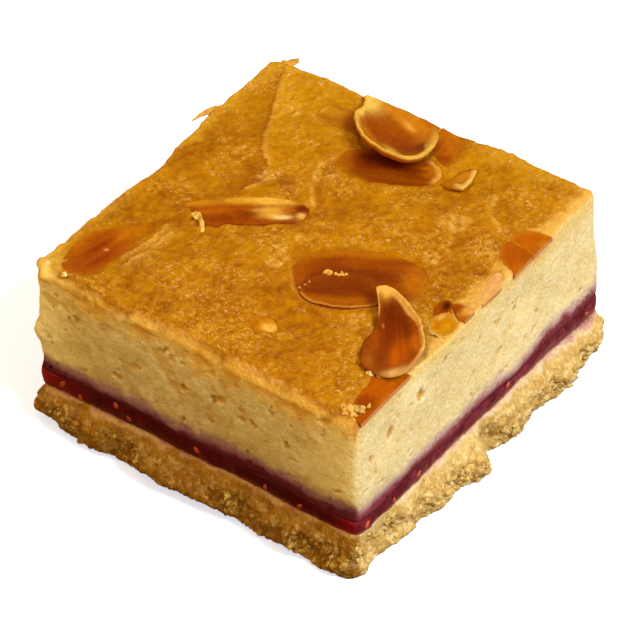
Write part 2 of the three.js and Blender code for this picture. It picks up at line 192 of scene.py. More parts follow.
def outward(u, v, power):
    n = np.stack([np.sign(u) * abs(u) ** (power - 1), np.sign(v) * abs(v) ** (power - 1)], -1)
    return n / np.linalg.norm(n, axis=-1, keepdims=True)


def bySide(sizes, out):
    across = np.where(out[..., 0] > 0, sizes["right"], sizes["left"])
    along = np.where(out[..., 1] > 0, sizes["back"], sizes["front"])
    return across * out[..., 0] ** 2 + along * out[..., 1] ** 2


def ringFaces(first, second, count):
    i = np.arange(count)
    n = (i + 1) % count
    return np.stack([first + i, first + n, second + n, second + i], 1)


# faces of a stack of rings, closed at both ends
def stackFaces(rows, count):
    faces = np.concatenate([ringFaces(i * count, (i + 1) * count, count) for i in range(rows - 1)]).tolist()
    last = (rows - 1) * count
    return faces + [list(range(last, last + count)), list(range(count - 1, -1, -1))]


def makePiece(name, points, faces, material, slot, node=None, **paints):
    mesh = bpy.data.meshes.new(name)
    mesh.from_pydata((np.asarray(points) * mm).tolist(), [], [list(f) for f in faces])
    mesh.validate()
    mesh.polygons.foreach_set("use_smooth", np.ones(len(mesh.polygons), bool))
    for key, values in paints.items():
        values = np.asarray(values, np.float32)
        if values.ndim == 2:
            layer = mesh.attributes.new(key, "FLOAT_COLOR", "POINT")
            rgba = np.ones((len(values), 4), np.float32)
            rgba[:, :3] = np.clip(values, 0, 1)
            layer.data.foreach_set("color", rgba.ravel())
        else:
            layer = mesh.attributes.new(key, "FLOAT", "POINT")
            layer.data.foreach_set("value", values)
    mesh.materials.append(material)
    piece = bpy.data.objects.new(name, mesh)
    scene.collection.objects.link(piece)
    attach(piece, "root")
    if node:
        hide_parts(node)
    return piece


# painted colour, then grain, dark specks, flecks and a pebbled bump on top
def makeMaterial(name, look):
    material = bpy.data.materials.new(name)
    material.use_nodes = True
    nodes, links = material.node_tree.nodes, material.node_tree.links
    shader = nodes["Principled BSDF"]
    place = nodes.new("ShaderNodeTexCoord")

    def painted(key):
        made = nodes.new("ShaderNodeAttribute")
        made.attribute_name = key
        return made

    def texture(kind, size, **values):
        made = nodes.new(kind)
        made.inputs["Scale"].default_value = 1 / (size * mm)
        for key, value in values.items():
            made.inputs[key].default_value = value
        links.new(place.outputs["Object"], made.inputs["Vector"])
        return made

    def combine(operation, first, second):
        made = nodes.new("ShaderNodeMath")
        made.operation = operation
        links.new(first, made.inputs[0])
        links.new(second, made.inputs[1])
        return made.outputs["Value"]

    def multiply(colour, fac, stops):
        ramp = nodes.new("ShaderNodeValToRGB")
        for element, (at, shade) in zip(ramp.color_ramp.elements, stops):
            element.position = at
            element.color = (*shade, 1)
        links.new(fac, ramp.inputs["Fac"])
        mixed = nodes.new("ShaderNodeMix")
        mixed.data_type, mixed.blend_type = "RGBA", "MULTIPLY"
        mixed.inputs["Factor"].default_value = 1
        links.new(colour, mixed.inputs["A"])
        links.new(ramp.outputs["Color"], mixed.inputs["B"])
        return mixed.outputs["Result"]

    colour = painted("tint").outputs["Color"]
    grain = texture("ShaderNodeTexNoise", look["grain"], Detail=4, Roughness=0.65)
    colour = multiply(colour, grain.outputs["Fac"], zip((0.32, 0.68), look["shades"]))
    if "specks" in look:
        specks = texture("ShaderNodeTexVoronoi", look["specks"])
        colour = multiply(colour, specks.outputs["Distance"], ((0.1, look["speckShade"]), (0.2, (1, 1, 1))))
    # flecks of a size and shade between two noise levels, thick where the surface is painted sandy or to
    # sparkle; some stand in for highlights
    for size, shade, low, high, most in look.get("flecks", ()):
        flecks = texture("ShaderNodeTexNoise", size, Detail=2, Roughness=0.6)
        spread = nodes.new("ShaderNodeMapRange")
        for key, value in (("From Min", low), ("From Max", high), ("To Max", most)):
            spread.inputs[key].default_value = value
        links.new(flecks.outputs["Fac"], spread.inputs["Value"])
        amount = combine("MULTIPLY", spread.outputs["Result"], painted("sand").outputs["Fac"])
        mixed = nodes.new("ShaderNodeMix")
        mixed.data_type = "RGBA"
        mixed.inputs["B"].default_value = (*tone(*shade), 1)
        links.new(amount, mixed.inputs["Factor"])
        links.new(colour, mixed.inputs["A"])
        colour = mixed.outputs["Result"]
    links.new(colour, shader.inputs["Base Color"])
    pebbles = texture("ShaderNodeTexVoronoi", look["pebble"])
    bump = nodes.new("ShaderNodeBump")
    bump.inputs["Strength"].default_value, height = look["bump"]
    bump.inputs["Distance"].default_value = height * mm
    links.new(combine("SUBTRACT", grain.outputs["Fac"], pebbles.outputs["Distance"]), bump.inputs["Height"])
    links.new(bump.outputs["Normal"], shader.inputs["Normal"])
    shader.inputs["Roughness"].default_value = look["roughness"]
    shader.inputs["Specular IOR Level"].default_value = look["specular"]
    shader.inputs["Subsurface Weight"].default_value = look.get("soft", 0)
    shader.inputs["Subsurface Radius"].default_value = look.get("softColour", (1, 0.5, 0.25))
    shader.inputs["Subsurface Scale"].default_value = 0.6 * mm
    return material


crumbMaterial = makeMaterial("sponge crumb", {
    "grain": 0.6, "shades": ((0.88, 0.85, 0.74), (1.08, 1.09, 1.11)), "pebble": 0.6, "bump": (0.42, 0.2),
    # the pale crumb flecks are partly painted highlights
    "flecks": ((0.7, (254, 240, 196), 0.48, 0.7, 0.42), (0.5, (196, 148, 62), 0.6, 0.76, 0.3)),
    "roughness": 0.75, "specular": 0.12, "soft": 0.12, "softColour": (1, 0.62, 0.28)})
crustMaterial = makeMaterial("browned crust", {
    "grain": 1.0, "shades": ((0.82, 0.78, 0.5), (1.03, 1.05, 1.0)), "pebble": 0.7, "bump": (0.6, 0.18),
    # the second, paler crust flecks are painted sparkle
    "flecks": ((0.9, (208, 150, 44), 0.44, 0.68, 0.55), (0.6, (236, 204, 144), 0.58, 0.76, 0.6)),
    "roughness": 0.46, "specular": 0.03, "soft": 0.05})
jamMaterial = makeMaterial("raspberry jam", {
    "grain": 1.4, "shades": ((0.6, 0.5, 0.55), (1.2, 1.2, 1.2)), "pebble": 1.1, "bump": (0.3, 0.12),
    "roughness": 0.3, "specular": 0.12, "soft": 0.1, "softColour": (1, 0.08, 0.12)})
baseMaterial = makeMaterial("shortbread", {
    "grain": 0.8, "shades": ((0.8, 0.74, 0.58), (1.12, 1.12, 1.12)), "pebble": 0.55, "bump": (0.75, 0.24),
    "specks": 1.6, "speckShade": (0.9, 0.82, 0.68),
    "flecks": ((1.2, (250, 226, 154), 0.5, 0.66, 0.6), (0.9, (156, 100, 28), 0.54, 0.7, 0.5)),
    "roughness": 0.7, "specular": 0.15, "soft": 0.06})
almondMaterial = makeMaterial("toasted almond", {
    "grain": 1.2, "shades": ((0.86, 0.8, 0.7), (1.08, 1.08, 1.08)), "pebble": 0.5, "bump": (0.3, 0.08),
    "roughness": 0.42, "specular": 0.05, "soft": 0.08})
seedMaterial = makeMaterial("berry seed", {
    "grain": 0.3, "shades": ((0.8, 0.75, 0.7), (1.1, 1.1, 1.1)), "pebble": 0.25, "bump": (0.4, 0.06),
    "roughness": 0.5, "specular": 0.15})
print("materials ready")

# almond flakes: where they lie in the solids, and the shades of centre, body and rim. u runs along the
# flake and v to its left. top is the height over the crust, cover the side that the crust has grown over,
# rimArc the part of the rim that shows pale, melt the part that melts into the crust, in degrees with their
# spread, and spots are patches at u and v with their lengths, shade and amount.
flakes = {
    "flake_curl": {
        "at": (-5.2, 28.6), "top": 0.45, "size": (22, 13.6), "heading": -27, "curl": 3.2, "thick": 1.1,
        "recess": 0.2, "rolled": 0.5, "angular": 0.2, "centre": (164, 82, 0), "body": (184, 108, 6),
        "rim": (234, 190, 86), "rimAt": 0.84, "rimArc": (-64, 122), "rimRough": 0.09,
        "outline": [(-15.2, 35.3), (-15, 34), (-13.6, 31.3), (-13.2, 28.4), (-11.8, 26.1), (-9.3, 23.5),
                    (-6.7, 21.8), (-3.7, 21), (-0.1, 20.6), (2.7, 21.1), (4.2, 22.6), (4.5, 24.9),
                    (3.6, 28.4), (2, 32.4), (0.4, 34.3), (-1.3, 35.3)],
        "spots": [(-0.95, -0.1, 0.42, 0.6, (232, 190, 92), 1.0),
                  # the darker brown spots on the next two lines are partly toasting and partly painted shade
                  # on the cup's inner wall
                  (-0.35, 0.6, 0.5, 0.3, (206, 132, 24), 0.9), (-0.1, -0.3, 0.55, 0.28, (146, 66, 0), 0.9),
                  (0.4, -0.05, 0.34, 0.25, (142, 62, 0), 0.9), (0.62, 0.25, 0.2, 0.25, (126, 52, 0), 0.9),
                  # a painted highlight streak
                  (-0.02, 0.5, 0.16, 0.07, (226, 168, 90), 0.5),
                  (0.35, 0.8, 0.35, 0.25, (196, 122, 16), 0.9),
                  (0.6, -0.45, 0.3, 0.14, (236, 182, 66), 0.9)]},
    "flake_standing": {
        "at": (25.6, -15.3), "top": 1.0, "size": (20.6, 10.6), "heading": 127, "roll": -13, "pitch": 5,
        "cup": (1.3, 1.3), "thick": 0.9, "edge": True, "recess": 0.2, "angular": 0.4, "lines": 0.2,
        "centre": (126, 48, 0), "body": (154, 72, 0), "rim": (240, 184, 96), "rimAt": 0.86,
        "rimArc": (-45, 92), "rimWide": (-38, 42, 0.15), "rimRough": 0.04,
        "outline": [(17.5, -9), (19.5, -11), (20.5, -13), (22, -16), (22.5, -19.5), (25, -24), (28, -25),
                    (31, -24.5), (33, -22.5), (33.5, -19), (33, -16.5), (31.5, -14.5), (28.5, -11.5),
                    (24.5, -9), (20.5, -7.5), (18.5, -7.6)],
        "spots": [(0.3, 0.15, 0.45, 0.45, (118, 42, 0), 0.8), (-0.03, 0.02, 0.35, 0.4, (126, 48, 0), 0.6),
                  (1.0, 0.25, 0.3, 0.6, (238, 182, 66), 1.0), (-0.1, 0.7, 0.3, 0.3, (156, 74, 6), 0.7),
                  (-0.5, -0.3, 0.4, 0.55, (188, 90, 0), 0.85),
                  (-0.45, -0.7, 0.3, 0.2, (200, 112, 10), 0.7),
                  (-0.95, -0.1, 0.12, 0.6, (240, 192, 116), 0.95),
                  # the first spot on the next line is a small painted highlight
                  (0.2, 0.34, 0.05, 0.04, (196, 122, 60), 0.6), (-0.6, 0.8, 0.2, 0.16, (182, 102, 34), 0.6)]},
    "flake_film": {
        "at": (11.6, -9.9), "top": 0.14, "size": (14.4, 8.0), "heading": 31, "thick": 0.5, "recess": 0,
        "angular": 0.3, "centre": (128, 50, 0), "body": (140, 60, 0), "rim": (208, 146, 54), "rimAt": 0.94,
        "rimArc": (-100, 62),
        "outline": [(6.5, -15.2), (5.2, -13.6), (4.9, -11.4), (5.4, -9.8), (6.6, -8.5), (8.8, -6.6),
                    (12.6, -5), (15.8, -5.7), (18.7, -8.4), (18, -10.8), (15.4, -13.2), (11.5, -15.2),
                    (8.4, -15.9)],
        "spots": [(0, -0.85, 1.0, 0.4, (172, 94, 4), 0.85), (-0.4, 0.3, 0.4, 0.4, (136, 58, 0), 0.6)]},
    "flake_chip_upright": {
        "at": (11.2, 26.0), "top": 0.4, "size": (8, 4.2), "heading": 84, "roll": -15, "thick": 0.9,
        "angular": 0.8, "recess": 0.05, "centre": (190, 118, 6), "body": (190, 118, 8),
        "rim": (240, 200, 112), "rimAt": 0.66, "rimArc": (-85, 62), "melt": (110, 90),
        "outline": [(8.7, 22.5), (9.7, 25.1), (10, 27.4), (11.6, 28.9), (12.6, 28.4), (13.6, 24.8),
                    (13.6, 22.6), (12.2, 22.3), (10.2, 22.2)],
        # the first spot is a painted shadow at one end of the chip
        "spots": [(0.55, 0.2, 0.2, 0.3, (124, 58, 0), 0.85), (-0.2, -0.1, 0.4, 0.3, (206, 134, 20), 0.8)]},
    "flake_pane": {
        "at": (30.2, -8.4), "flush": True, "size": (6.8, 4.4), "heading": 88, "roll": 4, "thick": 0.8,
        "edge": True, "angular": 0.6, "centre": (206, 134, 0), "body": (208, 138, 8),
        "rim": (226, 178, 96), "rimAt": 0.9, "rimArc": (60, 50), "melt": (-90, 190),
        "meltTone": (206, 150, 58),
        "outline": [(28.9, -10.4), (27.9, -7.7), (28.3, -5.9), (29.2, -4.6), (30.7, -5.3), (32.2, -5.9),
                    (32.6, -8.3), (31.9, -10.2), (30.7, -11.5), (29.8, -11.3)],
        "spots": [(-0.75, 0.2, 0.28, 0.5, (222, 172, 86), 0.85),
                  (0.6, 0.6, 0.35, 0.3, (226, 168, 84), 0.9), (0.0, 0.3, 0.35, 0.3, (200, 122, 0), 0.7),
                  (0.2, -0.4, 0.4, 0.3, (214, 150, 16), 0.7)]},
    "flake_tip": {
        "at": (31.0, -3.0), "top": 0.2, "size": (6.2, 4.4), "heading": 95, "roll": -8, "thick": 0.9,
        "edge": True, "angular": 0.6, "centre": (176, 88, 0), "body": (184, 104, 10),
        "rim": (236, 192, 120), "rimAt": 0.78, "rimArc": (-30, 80),
        "outline": [(28.3, -2.7), (28.6, -1.9), (29.4, -1.5), (31, -1.6), (32.6, -2.2), (33.8, -2.9),
                    (33.6, -5), (31.7, -5.6), (29.9, -4.2)],
        "spots": [(0.1, -0.5, 0.55, 0.6, (226, 168, 76), 1.0),
                  (0.25, -0.9, 0.5, 0.3, (238, 196, 128), 0.9), (-0.1, 0.6, 0.45, 0.4, (150, 66, 0), 0.9),
                  (0.7, 0.5, 0.25, 0.5, (206, 142, 50), 0.8)]},
    "flake_hollow": {
        "at": (27.6, -4.8), "top": -0.3, "size": (5.8, 3.4), "heading": 113, "roll": -8, "thick": 0.8,
        "angular": 0.3, "centre": (164, 76, 0), "body": (172, 86, 0), "rim": (176, 98, 4), "rimAt": 0.95,
        "outline": [(26.9, -6.2), (26, -4.4), (26.2, -2.8), (27, -1.9), (28.2, -2.3), (29.4, -4.2),
                    (28.9, -6), (28.2, -7.3)],
        "spots": [(0.41, -0.5, 0.5, 0.55, (70, 16, 0), 0.95), (-0.15, 0.35, 0.4, 0.4, (170, 86, 4), 0.7)]},
    "flake_left": {
        "at": (-27.7, -24.7), "flush": True, "size": (20.5, 10.6), "heading": 81, "cover": (-75, 0.5),
        "centre": (162, 74, 0), "body": (168, 84, 0), "rim": (216, 152, 60), "rimAt": 0.93,
        "rimArc": (165, 42), "melt": (0, 135),
        "outline": [(-32.7, -27.7), (-31.8, -32.2), (-30.8, -33.6), (-29.5, -34.2), (-28.2, -34.3),
                    (-25.3, -32.4), (-24.2, -30), (-23.8, -27.2), (-23.4, -22), (-23.2, -18),
                    (-23.8, -16.3), (-25.4, -15.9), (-27.5, -17), (-29.2, -19), (-31.7, -21.5),
                    (-32.4, -24.3)],
        "spots": [(0.7, 0.1, 0.35, 0.6, (184, 110, 6), 0.85), (-0.05, 0.18, 0.35, 0.13, (136, 48, 0), 0.8),
                  (-0.3, -0.33, 0.3, 0.15, (138, 48, 0), 0.8), (0.1, 0.85, 0.6, 0.3, (180, 102, 4), 0.7),
                  # the last spot is a small painted glint
                  (0.03, -0.06, 0.03, 0.09, (232, 176, 130), 0.8)]},
    "flake_sliver": {
        "at": (-14.2, -3.6), "top": 0.4, "size": (21.8, 6.8), "heading": 38, "roll": 4, "thick": 1.0,
        "angular": 0.3, "cover": (185, 0.2), "centre": (156, 74, 0), "body": (152, 72, 0),
        "rim": (206, 144, 36), "rimAt": 0.93, "rimArc": (90, 60),
        "outline": [(-23.5, -8.3), (-22.3, -6.3), (-19.3, -3.4), (-15.7, -0.6), (-12, 2), (-8.9, 3.4),
                    (-6.4, 3.9), (-5, 3.4), (-4.6, 2.2), (-4.8, 0.8), (-5.4, -0.8), (-7.6, -2.5),
                    (-10.8, -5.2), (-14.7, -7.6), (-15.6, -9.3), (-17.2, -10), (-20.5, -9.2)],
        "spots": [(-0.6, 0.65, 0.4, 0.32, (192, 124, 10), 0.95),
                  (0.0, 0.7, 0.4, 0.32, (208, 148, 34), 0.95), (0.52, 0.6, 0.38, 0.4, (228, 174, 66), 1.0),
                  (-0.5, 0.05, 0.25, 0.3, (180, 94, 4), 0.8),
                  (-0.31, -0.56, 0.2, 0.25, (134, 54, 0), 0.85),
                  (0.05, -0.38, 0.18, 0.35, (132, 54, 0), 0.85),
                  (0.45, -0.2, 0.24, 0.5, (222, 166, 62), 1.0),
                  (0.62, -0.6, 0.17, 0.15, (238, 206, 142), 0.95),
                  (0.72, -0.05, 0.14, 0.1, (186, 96, 4), 0.9), (0.82, -0.8, 0.07, 0.15, (146, 80, 4), 0.8),
                  (0.93, -0.5, 0.07, 0.2, (222, 174, 88), 0.9), (0.96, 0.0, 0.11, 0.24, (108, 34, 0), 0.97)]},
    "flake_dark": {
        "at": (-0.9, 21.1), "flush": True, "size": (19, 10.6), "heading": 25.5, "centre": (116, 40, 0),
        "body": (140, 62, 0), "rim": (226, 164, 66), "rimAt": 0.86, "rimArc": (5, 36), "melt": (180, 60),
        "outline": [(-9.5, 17.5), (-10.1, 19.7), (-8.9, 21.4), (-7.4, 22.9), (-2.5, 25.6), (3, 27.2),
                    (5.6, 26.7), (7.7, 25.2), (8.1, 22.7), (6.4, 20.1), (2.7, 17.7), (-2.1, 15.5),
                    (-6.2, 15.4)],
        # the first spot is a painted shadow of the curled flake's rim
        "spots": [(-0.2, 0.35, 0.5, 0.4, (104, 34, 0), 0.7), (0.05, -0.5, 0.6, 0.3, (154, 76, 0), 0.8),
                  (0.82, 0.1, 0.2, 0.45, (180, 100, 8), 0.85), (-0.85, 0.0, 0.2, 0.7, (156, 78, 0), 0.7)]},
    "flake_pale": {
        "at": (-13.6, 28.0), "flush": True, "size": (13.6, 8), "heading": 2, "cover": (90, 0.35),
        "melt": (60, 85), "centre": (178, 110, 4), "body": (180, 114, 6), "rim": (208, 150, 54),
        "rimAt": 0.92, "rimArc": (205, 75), "rimRough": 0.08,
        "outline": [(-19.6, 26.2), (-16.7, 24.3), (-13.6, 24.2), (-9, 25.8), (-7.6, 29), (-10.5, 31.6),
                    (-15, 32.2), (-19.3, 30)],
        "spots": [(-0.6, 0.15, 0.35, 0.5, (196, 134, 24), 0.7), (0.25, -0.35, 0.4, 0.45, (152, 80, 0), 0.7)]},
    "flake_back": {
        "at": (4.3, 32.0), "flush": True, "size": (11.6, 8), "heading": 99, "edge": True,
        "cover": (-90, 0.3), "angular": 0.5, "centre": (188, 102, 0), "body": (184, 98, 0),
        "rim": (186, 110, 8), "rimAt": 0.95, "rimArc": (180, 50), "melt": (-90, 70),
        "outline": [(0.4, 36.6), (7, 36.6), (7.7, 32.8), (8.2, 30.4), (7.7, 27.4), (6.9, 26.8), (3, 28.6),
                    (1, 31.6)],
        "spots": [(-0.75, -0.2, 0.35, 0.5, (148, 60, 0), 0.85), (-0.3, 0.6, 0.4, 0.4, (150, 66, 0), 0.7),
                  (0.6, -0.2, 0.4, 0.7, (192, 116, 8), 0.8)]},
    "flake_centre": {
        "at": (11.4, -6.8), "flush": True, "size": (24.4, 15.6), "heading": 29, "melt": (108, 45),
        "centre": (132, 54, 0), "body": (142, 62, 0), "rim": (214, 154, 60), "rimAt": 0.94,
        "rimArc": (228, 100),
        "outline": [(2.1, -12.8), (0.7, -11), (0.3, -9.2), (0.5, -6.6), (5.2, -2.2), (10.8, 1.4),
                    (16.7, 2.8), (20.4, 2), (22, -0.5), (23.3, -4.2), (20.8, -8.6), (18.2, -11.6),
                    (13.6, -15.2), (9.2, -16.5), (6.6, -16.3), (4, -14.8)],
        "spots": [(-0.85, 0.2, 0.25, 0.6, (166, 82, 0), 0.8), (0.9, 0.0, 0.25, 0.8, (188, 108, 10), 0.85),
                  (0.0, 0.9, 0.9, 0.25, (184, 106, 2), 0.9), (0.1, 0.55, 0.6, 0.25, (158, 76, 0), 0.6)]},
    "flake_front": {
        "at": (31.0, -27.6), "flush": True, "size": (13.4, 8.4), "heading": 80, "thick": 0.9, "edge": True,
        "angular": 0.5, "cover": (120, 0.25), "melt": (90, 75), "centre": (182, 88, 0),
        "body": (178, 86, 0), "rim": (196, 112, 6), "rimAt": 0.95, "rimArc": (90, 60),
        "outline": [(28.8, -32.7), (27.4, -29.2), (27.4, -26), (26.9, -24), (28, -22.8), (30.4, -22),
                    (34.5, -21.6), (34.8, -35.4), (32.4, -35.3), (30.5, -34.4)],
        "spots": [(-0.5, -0.1, 0.3, 0.45, (148, 60, 0), 0.8), (0.63, 0.0, 0.3, 0.4, (190, 98, 0), 0.8),
                  (0.2, -0.55, 0.5, 0.2, (206, 124, 14), 0.8), (0.0, 0.8, 0.6, 0.25, (172, 86, 0), 0.8)]},
    "flake_right_low": {
        "at": (30.2, 13.2), "flush": True, "size": (9.2, 6.4), "heading": 130, "thick": 0.9, "edge": True,
        "angular": 0.6, "centre": (178, 86, 0), "body": (182, 92, 0), "rim": (214, 150, 62), "rimAt": 0.92,
        "rimArc": (56, 115), "melt": (100, 60), "meltTone": (190, 112, 10),
        "outline": [(26.9, 14.4), (28.3, 12.1), (30, 11.1), (31.5, 10.3), (34, 9.6), (34, 14.6),
                    (31.8, 16.3), (29.8, 16.8), (27.6, 17), (26.8, 15.9)],
        "spots": [(-0.2, 0.1, 0.4, 0.4, (174, 82, 0), 0.6), (-0.6, -0.3, 0.3, 0.5, (190, 104, 4), 0.7)]},
    "flake_right_high": {
        "at": (30.2, 18.2), "flush": True, "size": (10.6, 7.2), "heading": 62, "thick": 0.9, "edge": True,
        "angular": 0.6, "centre": (188, 98, 0), "body": (192, 106, 2), "rim": (208, 142, 50),
        "rimAt": 0.93, "rimArc": (30, 60), "melt": (95, 95), "meltTone": (190, 120, 12),
        "outline": [(27, 17.9), (27.3, 19.7), (29, 21.1), (30.8, 21.6), (34, 21.4), (34, 15.2),
                    (31.9, 15.6), (29.4, 16), (27.4, 16.6)],
        "spots": [(0.1, 0.1, 0.4, 0.4, (186, 94, 0), 0.6), (0.5, -0.6, 0.45, 0.35, (208, 130, 16), 0.85)]},
    "flake_right_sliver": {
        "at": (31.3, 4.8), "flush": True, "size": (8.8, 3.2), "heading": 105, "thick": 0.8, "edge": True,
        "angular": 0.4, "centre": (230, 172, 110), "body": (232, 176, 114), "rim": (240, 194, 130),
        "rimAt": 0.86, "rimArc": (95, 32), "melt": (-80, 190), "meltTone": (232, 184, 104),
        "outline": [(30.9, 0.4), (30.6, 2.1), (30.1, 4.9), (29.6, 7.7), (30.3, 9.1), (31.5, 8.4),
                    (32.6, 6), (33.2, 3), (33, 0.8), (32, 0.2)],
        "spots": [(-0.7, 0.0, 0.35, 0.8, (232, 182, 106), 0.8)]},
    "flake_crumb": {
        "at": (5.8, -25.0), "flush": True, "size": (5.2, 4.0), "heading": -20, "thick": 0.8,
        "cover": (200, 0.3), "angular": 0.4, "centre": (204, 138, 24), "body": (194, 124, 10),
        "rim": (190, 118, 8), "rimAt": 0.95, "melt": (200, 90),
        "outline": [(3.2, -24.2), (4.5, -23), (6.6, -22.8), (8, -23.8), (8.8, -25.3), (7.5, -25.9),
                    (5.5, -27), (3.5, -26.6)],
        "spots": [(0.45, 0.3, 0.5, 0.55, (230, 178, 76), 0.95), (-0.5, -0.5, 0.45, 0.5, (178, 98, 0), 0.9)]},
}


# the outline as a reach in each direction, with its corners rounded or left angular
def flakeReach(shape, angle):
    corners = np.array(shape["outline"]) - shape["at"]
    ring = []
    for i in range(len(corners)):
        a, b, c, d = (corners[(i + k) % len(corners)] for k in (-1, 0, 1, 2))
        bow, twist = 2 * a - 5 * b + 4 * c - d, 3 * b - a - 3 * c + d
        for t in np.linspace(0, 1, 12, endpoint=False):
            curve = 0.5 * (2 * b + (c - a) * t + bow * t ** 2 + twist * t ** 3)
            ring.append(curve + (b + (c - b) * t - curve) * shape.get("angular", 0))
    x, y = np.array(ring).T
    return np.interp(angle, np.arctan2(y, x), np.hypot(x, y), period=2 * math.pi)


# place of crust points in a flake's outline, where 1 is its rim, and in its own axes
def inFlake(shape, x, y):
    dx, dy = x - shape["at"][0], y - shape["at"][1]
    reach = np.hypot(dx, dy) / flakeReach(shape, np.arctan2(dy, dx))
    turn = math.radians(shape["heading"])
    u = (dx * math.cos(turn) + dy * math.sin(turn)) / (shape["size"][0] / 2)
    v = (dy * math.cos(turn) - dx * math.sin(turn)) / (shape["size"][1] / 2)
    return reach, u, v


# how far points lie towards the side that the crust has grown over
def towardsCover(shape, u, v):
    side = math.radians(shape["cover"][0])
    return u * math.cos(side) + v * math.sin(side)


# cracks, torn places and pits of the crust, as lines and spots seen from above
crustSteps = [
    {"line": [(-31.0, 31.0), (-28.8, 25.9), (-25.3, 19.6), (-24.0, 15.4), (-20.6, 11.2), (-18.2, 9.3),
              (-16.6, 5.3), (-17.6, 2.4)], "high": 0.45, "low": 0.25, "reach": 1.6},
    {"line": [(-5.5, 5.2), (-7.0, 7.2), (-8.7, 9.6), (-10.6, 15.6), (-9.4, 17.4)],
     "high": 0.5, "low": 0.25, "reach": 1.7},
    {"line": [(19.5, 24.2), (20.5, 20.6), (23.0, 19.6), (24.6, 18.4)],
     "high": -0.4, "low": -0.2, "reach": 1.3},
    {"line": [(-22.6, -13.5), (-22.9, -18.0), (-23.8, -24.5)], "high": 0.3, "low": -0.1, "reach": 0.7},
    {"line": [(-21.0, -15.0), (-21.2, -21.0), (-22.0, -26.0)], "high": 0.22, "low": -0.05, "reach": 0.6},
]
crustPits = [(-23.1, 29.3, 0.4), (-13.1, 19.7, 0.4), (-6.9, -15.6, 0.75), (12.9, 3.6, 0.35),
             (-20.3, -10.0, 0.45), (-19.2, -11.0, 0.5), (13.2, 30.2, 0.4), (3.0, -19.5, 0.3),
             (-12.0, -20.0, 0.35), (20.5, 28.5, 0.3), (-29.0, 6.0, 0.3)]
tornPatches = [(27.8, -9.2, 1.8), (24.2, 12.1, 3.6), (18.8, 5.0, 2.0), (28.2, 10.5, 1.8), (25.4, 19.5, 1.8),
               (18.1, -15.1, 1.8), (17.6, 15.6, 3.0), (-9.0, 12.4, 1.8), (-16.5, 7.0, 2.2),
               (29.5, -32.5, 2.2), (-28.8, -32.5, 2.2), (-25.5, 32.5, 2.2), (-24.5, 24.5, 2.0),
               (-2.6, -9.6, 2.6), (-1.4, -4.4, 2.2)]
crustLook = {
    "dark": (144, 76, 0), "light": (187, 125, 4), "patch": (184, 124, 2), "back": (192, 138, 10),
    "frontEdge": (178, 110, 0), "backEdge": (196, 144, 32), "leftEdge": (204, 152, 36),
    "rightEdge": (204, 142, 34), "rightRim": (232, 186, 98), "flakeStain": (164, 92, 0),
    # the low sides of the cracks get painted shade
    "crackShade": (150, 80, 0), "cornerBlock": (216, 172, 72), "torn": (228, 178, 92),
    # the pit shade is painted shade in the pits
    "pitShade": (96, 48, 4), "toasted": (150, 78, 2),
}


def besideLine(x, y, line):
    near = np.full(len(x), 99.0)
    side = np.zeros(len(x))
    for (ax, ay), (bx, by) in zip(line[:-1], line[1:]):
        dx, dy = bx - ax, by - ay
        t = np.clip(((x - ax) * dx + (y - ay) * dy) / (dx * dx + dy * dy), 0, 1)
        d = np.hypot(x - ax - t * dx, y - ay - t * dy)
        s = np.sign((x - ax) * dy - (y - ay) * dx)
        side = np.where(d < near, s, side)
        near = np.minimum(near, d)
    return near, side


# raised grains of the crust, in clusters with smooth places between them
def crustSand(flat):
    patch = smooth(-0.4, 0.7, clouds(flat, (1, 6.0, 111), (0.8, 2.6, 112)))
    fine = clouds(flat, (0.5, 1.4, 113), (0.65, 0.85, 114))
    return smooth(-0.3, 0.8, fine) * (0.4 + 0.6 * patch), patch


# relief of the crust, and where it is pale, painted dark in its pits as shade, sandy, stained by a flake or
# lighter in patches
def crustRelief(p):
    x, y = p[:, 0], p[:, 1]
    flat = np.stack([x, y, np.full(len(x), 3.3)], 1)
    grain, patch = crustSand(flat)
    sand = 0.12 + 0.75 * patch
    height = clouds(flat, (0.10, 5.5, 11), (0.10, 2.4, 12), (0.12, 1.1, 13), (0.10, 0.68, 14)) + 0.2 * grain
    pale = np.zeros(len(x))
    rough, shaky = cloud(flat, 1.3, 15), cloud(flat, 1.3, 16)
    crumbly, speckled = cloud(flat, 0.9, 17), cloud(flat, 0.9, 18)
    broken, ragged = cloud(flat, 1.8, 19), cloud(flat, 2.9, 20)
    for step in crustSteps:
        near, side = besideLine(x + 0.5 * rough, y + 0.5 * shaky, step["line"])
        left = side < 0
        over = smooth(-0.7, 0.7, -side * near)
        height += (over * step["high"] - (1 - over) * step["low"]) * np.exp(-near / step["reach"])
        edge = bell(near, 0, 0.8) * (left if step["high"] > 0 else ~left)
        pale = np.maximum(pale, 0.55 * edge * (0.6 + 0.6 * broken))
        sand = np.maximum(sand, edge)
    for px, py, size in crustPits:
        d = np.hypot(x - px, (y - py) * 0.8) / size
        height -= 0.45 * np.clip(1 - d * d, 0, 1)
        # the pits are painted dark, as shade
        pale -= 0.9 * np.clip(1.2 - d, 0, 1)
    for px, py, size in tornPatches:
        torn = smooth(1.1, 0.3, np.hypot(x - px, y - py) / size + 0.4 * rough + 0.5 * ragged)
        height += torn * 0.2 * crumbly
        pale = np.maximum(pale, 0.5 * torn * smooth(-0.2, 0.7, speckled))
        sand = np.maximum(sand, 1.15 * torn)
    stain = np.zeros(len(x))
    for shape in flakes.values():
        reach, u, v = inFlake(shape, x, y)
        stain = np.maximum(stain, smooth(1.16, 0.98, reach + 0.05 * rough))
        sand = np.maximum(sand, 0.9 * bell(reach, 1.16, 0.1) * smooth(-0.4, 0.4, rough))
        shown = smooth(1.0, 0.9, reach + 0.02 * rough)
        if "cover" in shape:
            shown = shown * (1 - smooth(0.35, 0.85, towardsCover(shape, u, v)))
        recess = shape.get("recess", 0.3 if "flush" in shape else 0.6)
        height = height * (1 - shown) - recess * shown
    return height, pale, sand, stain, patch


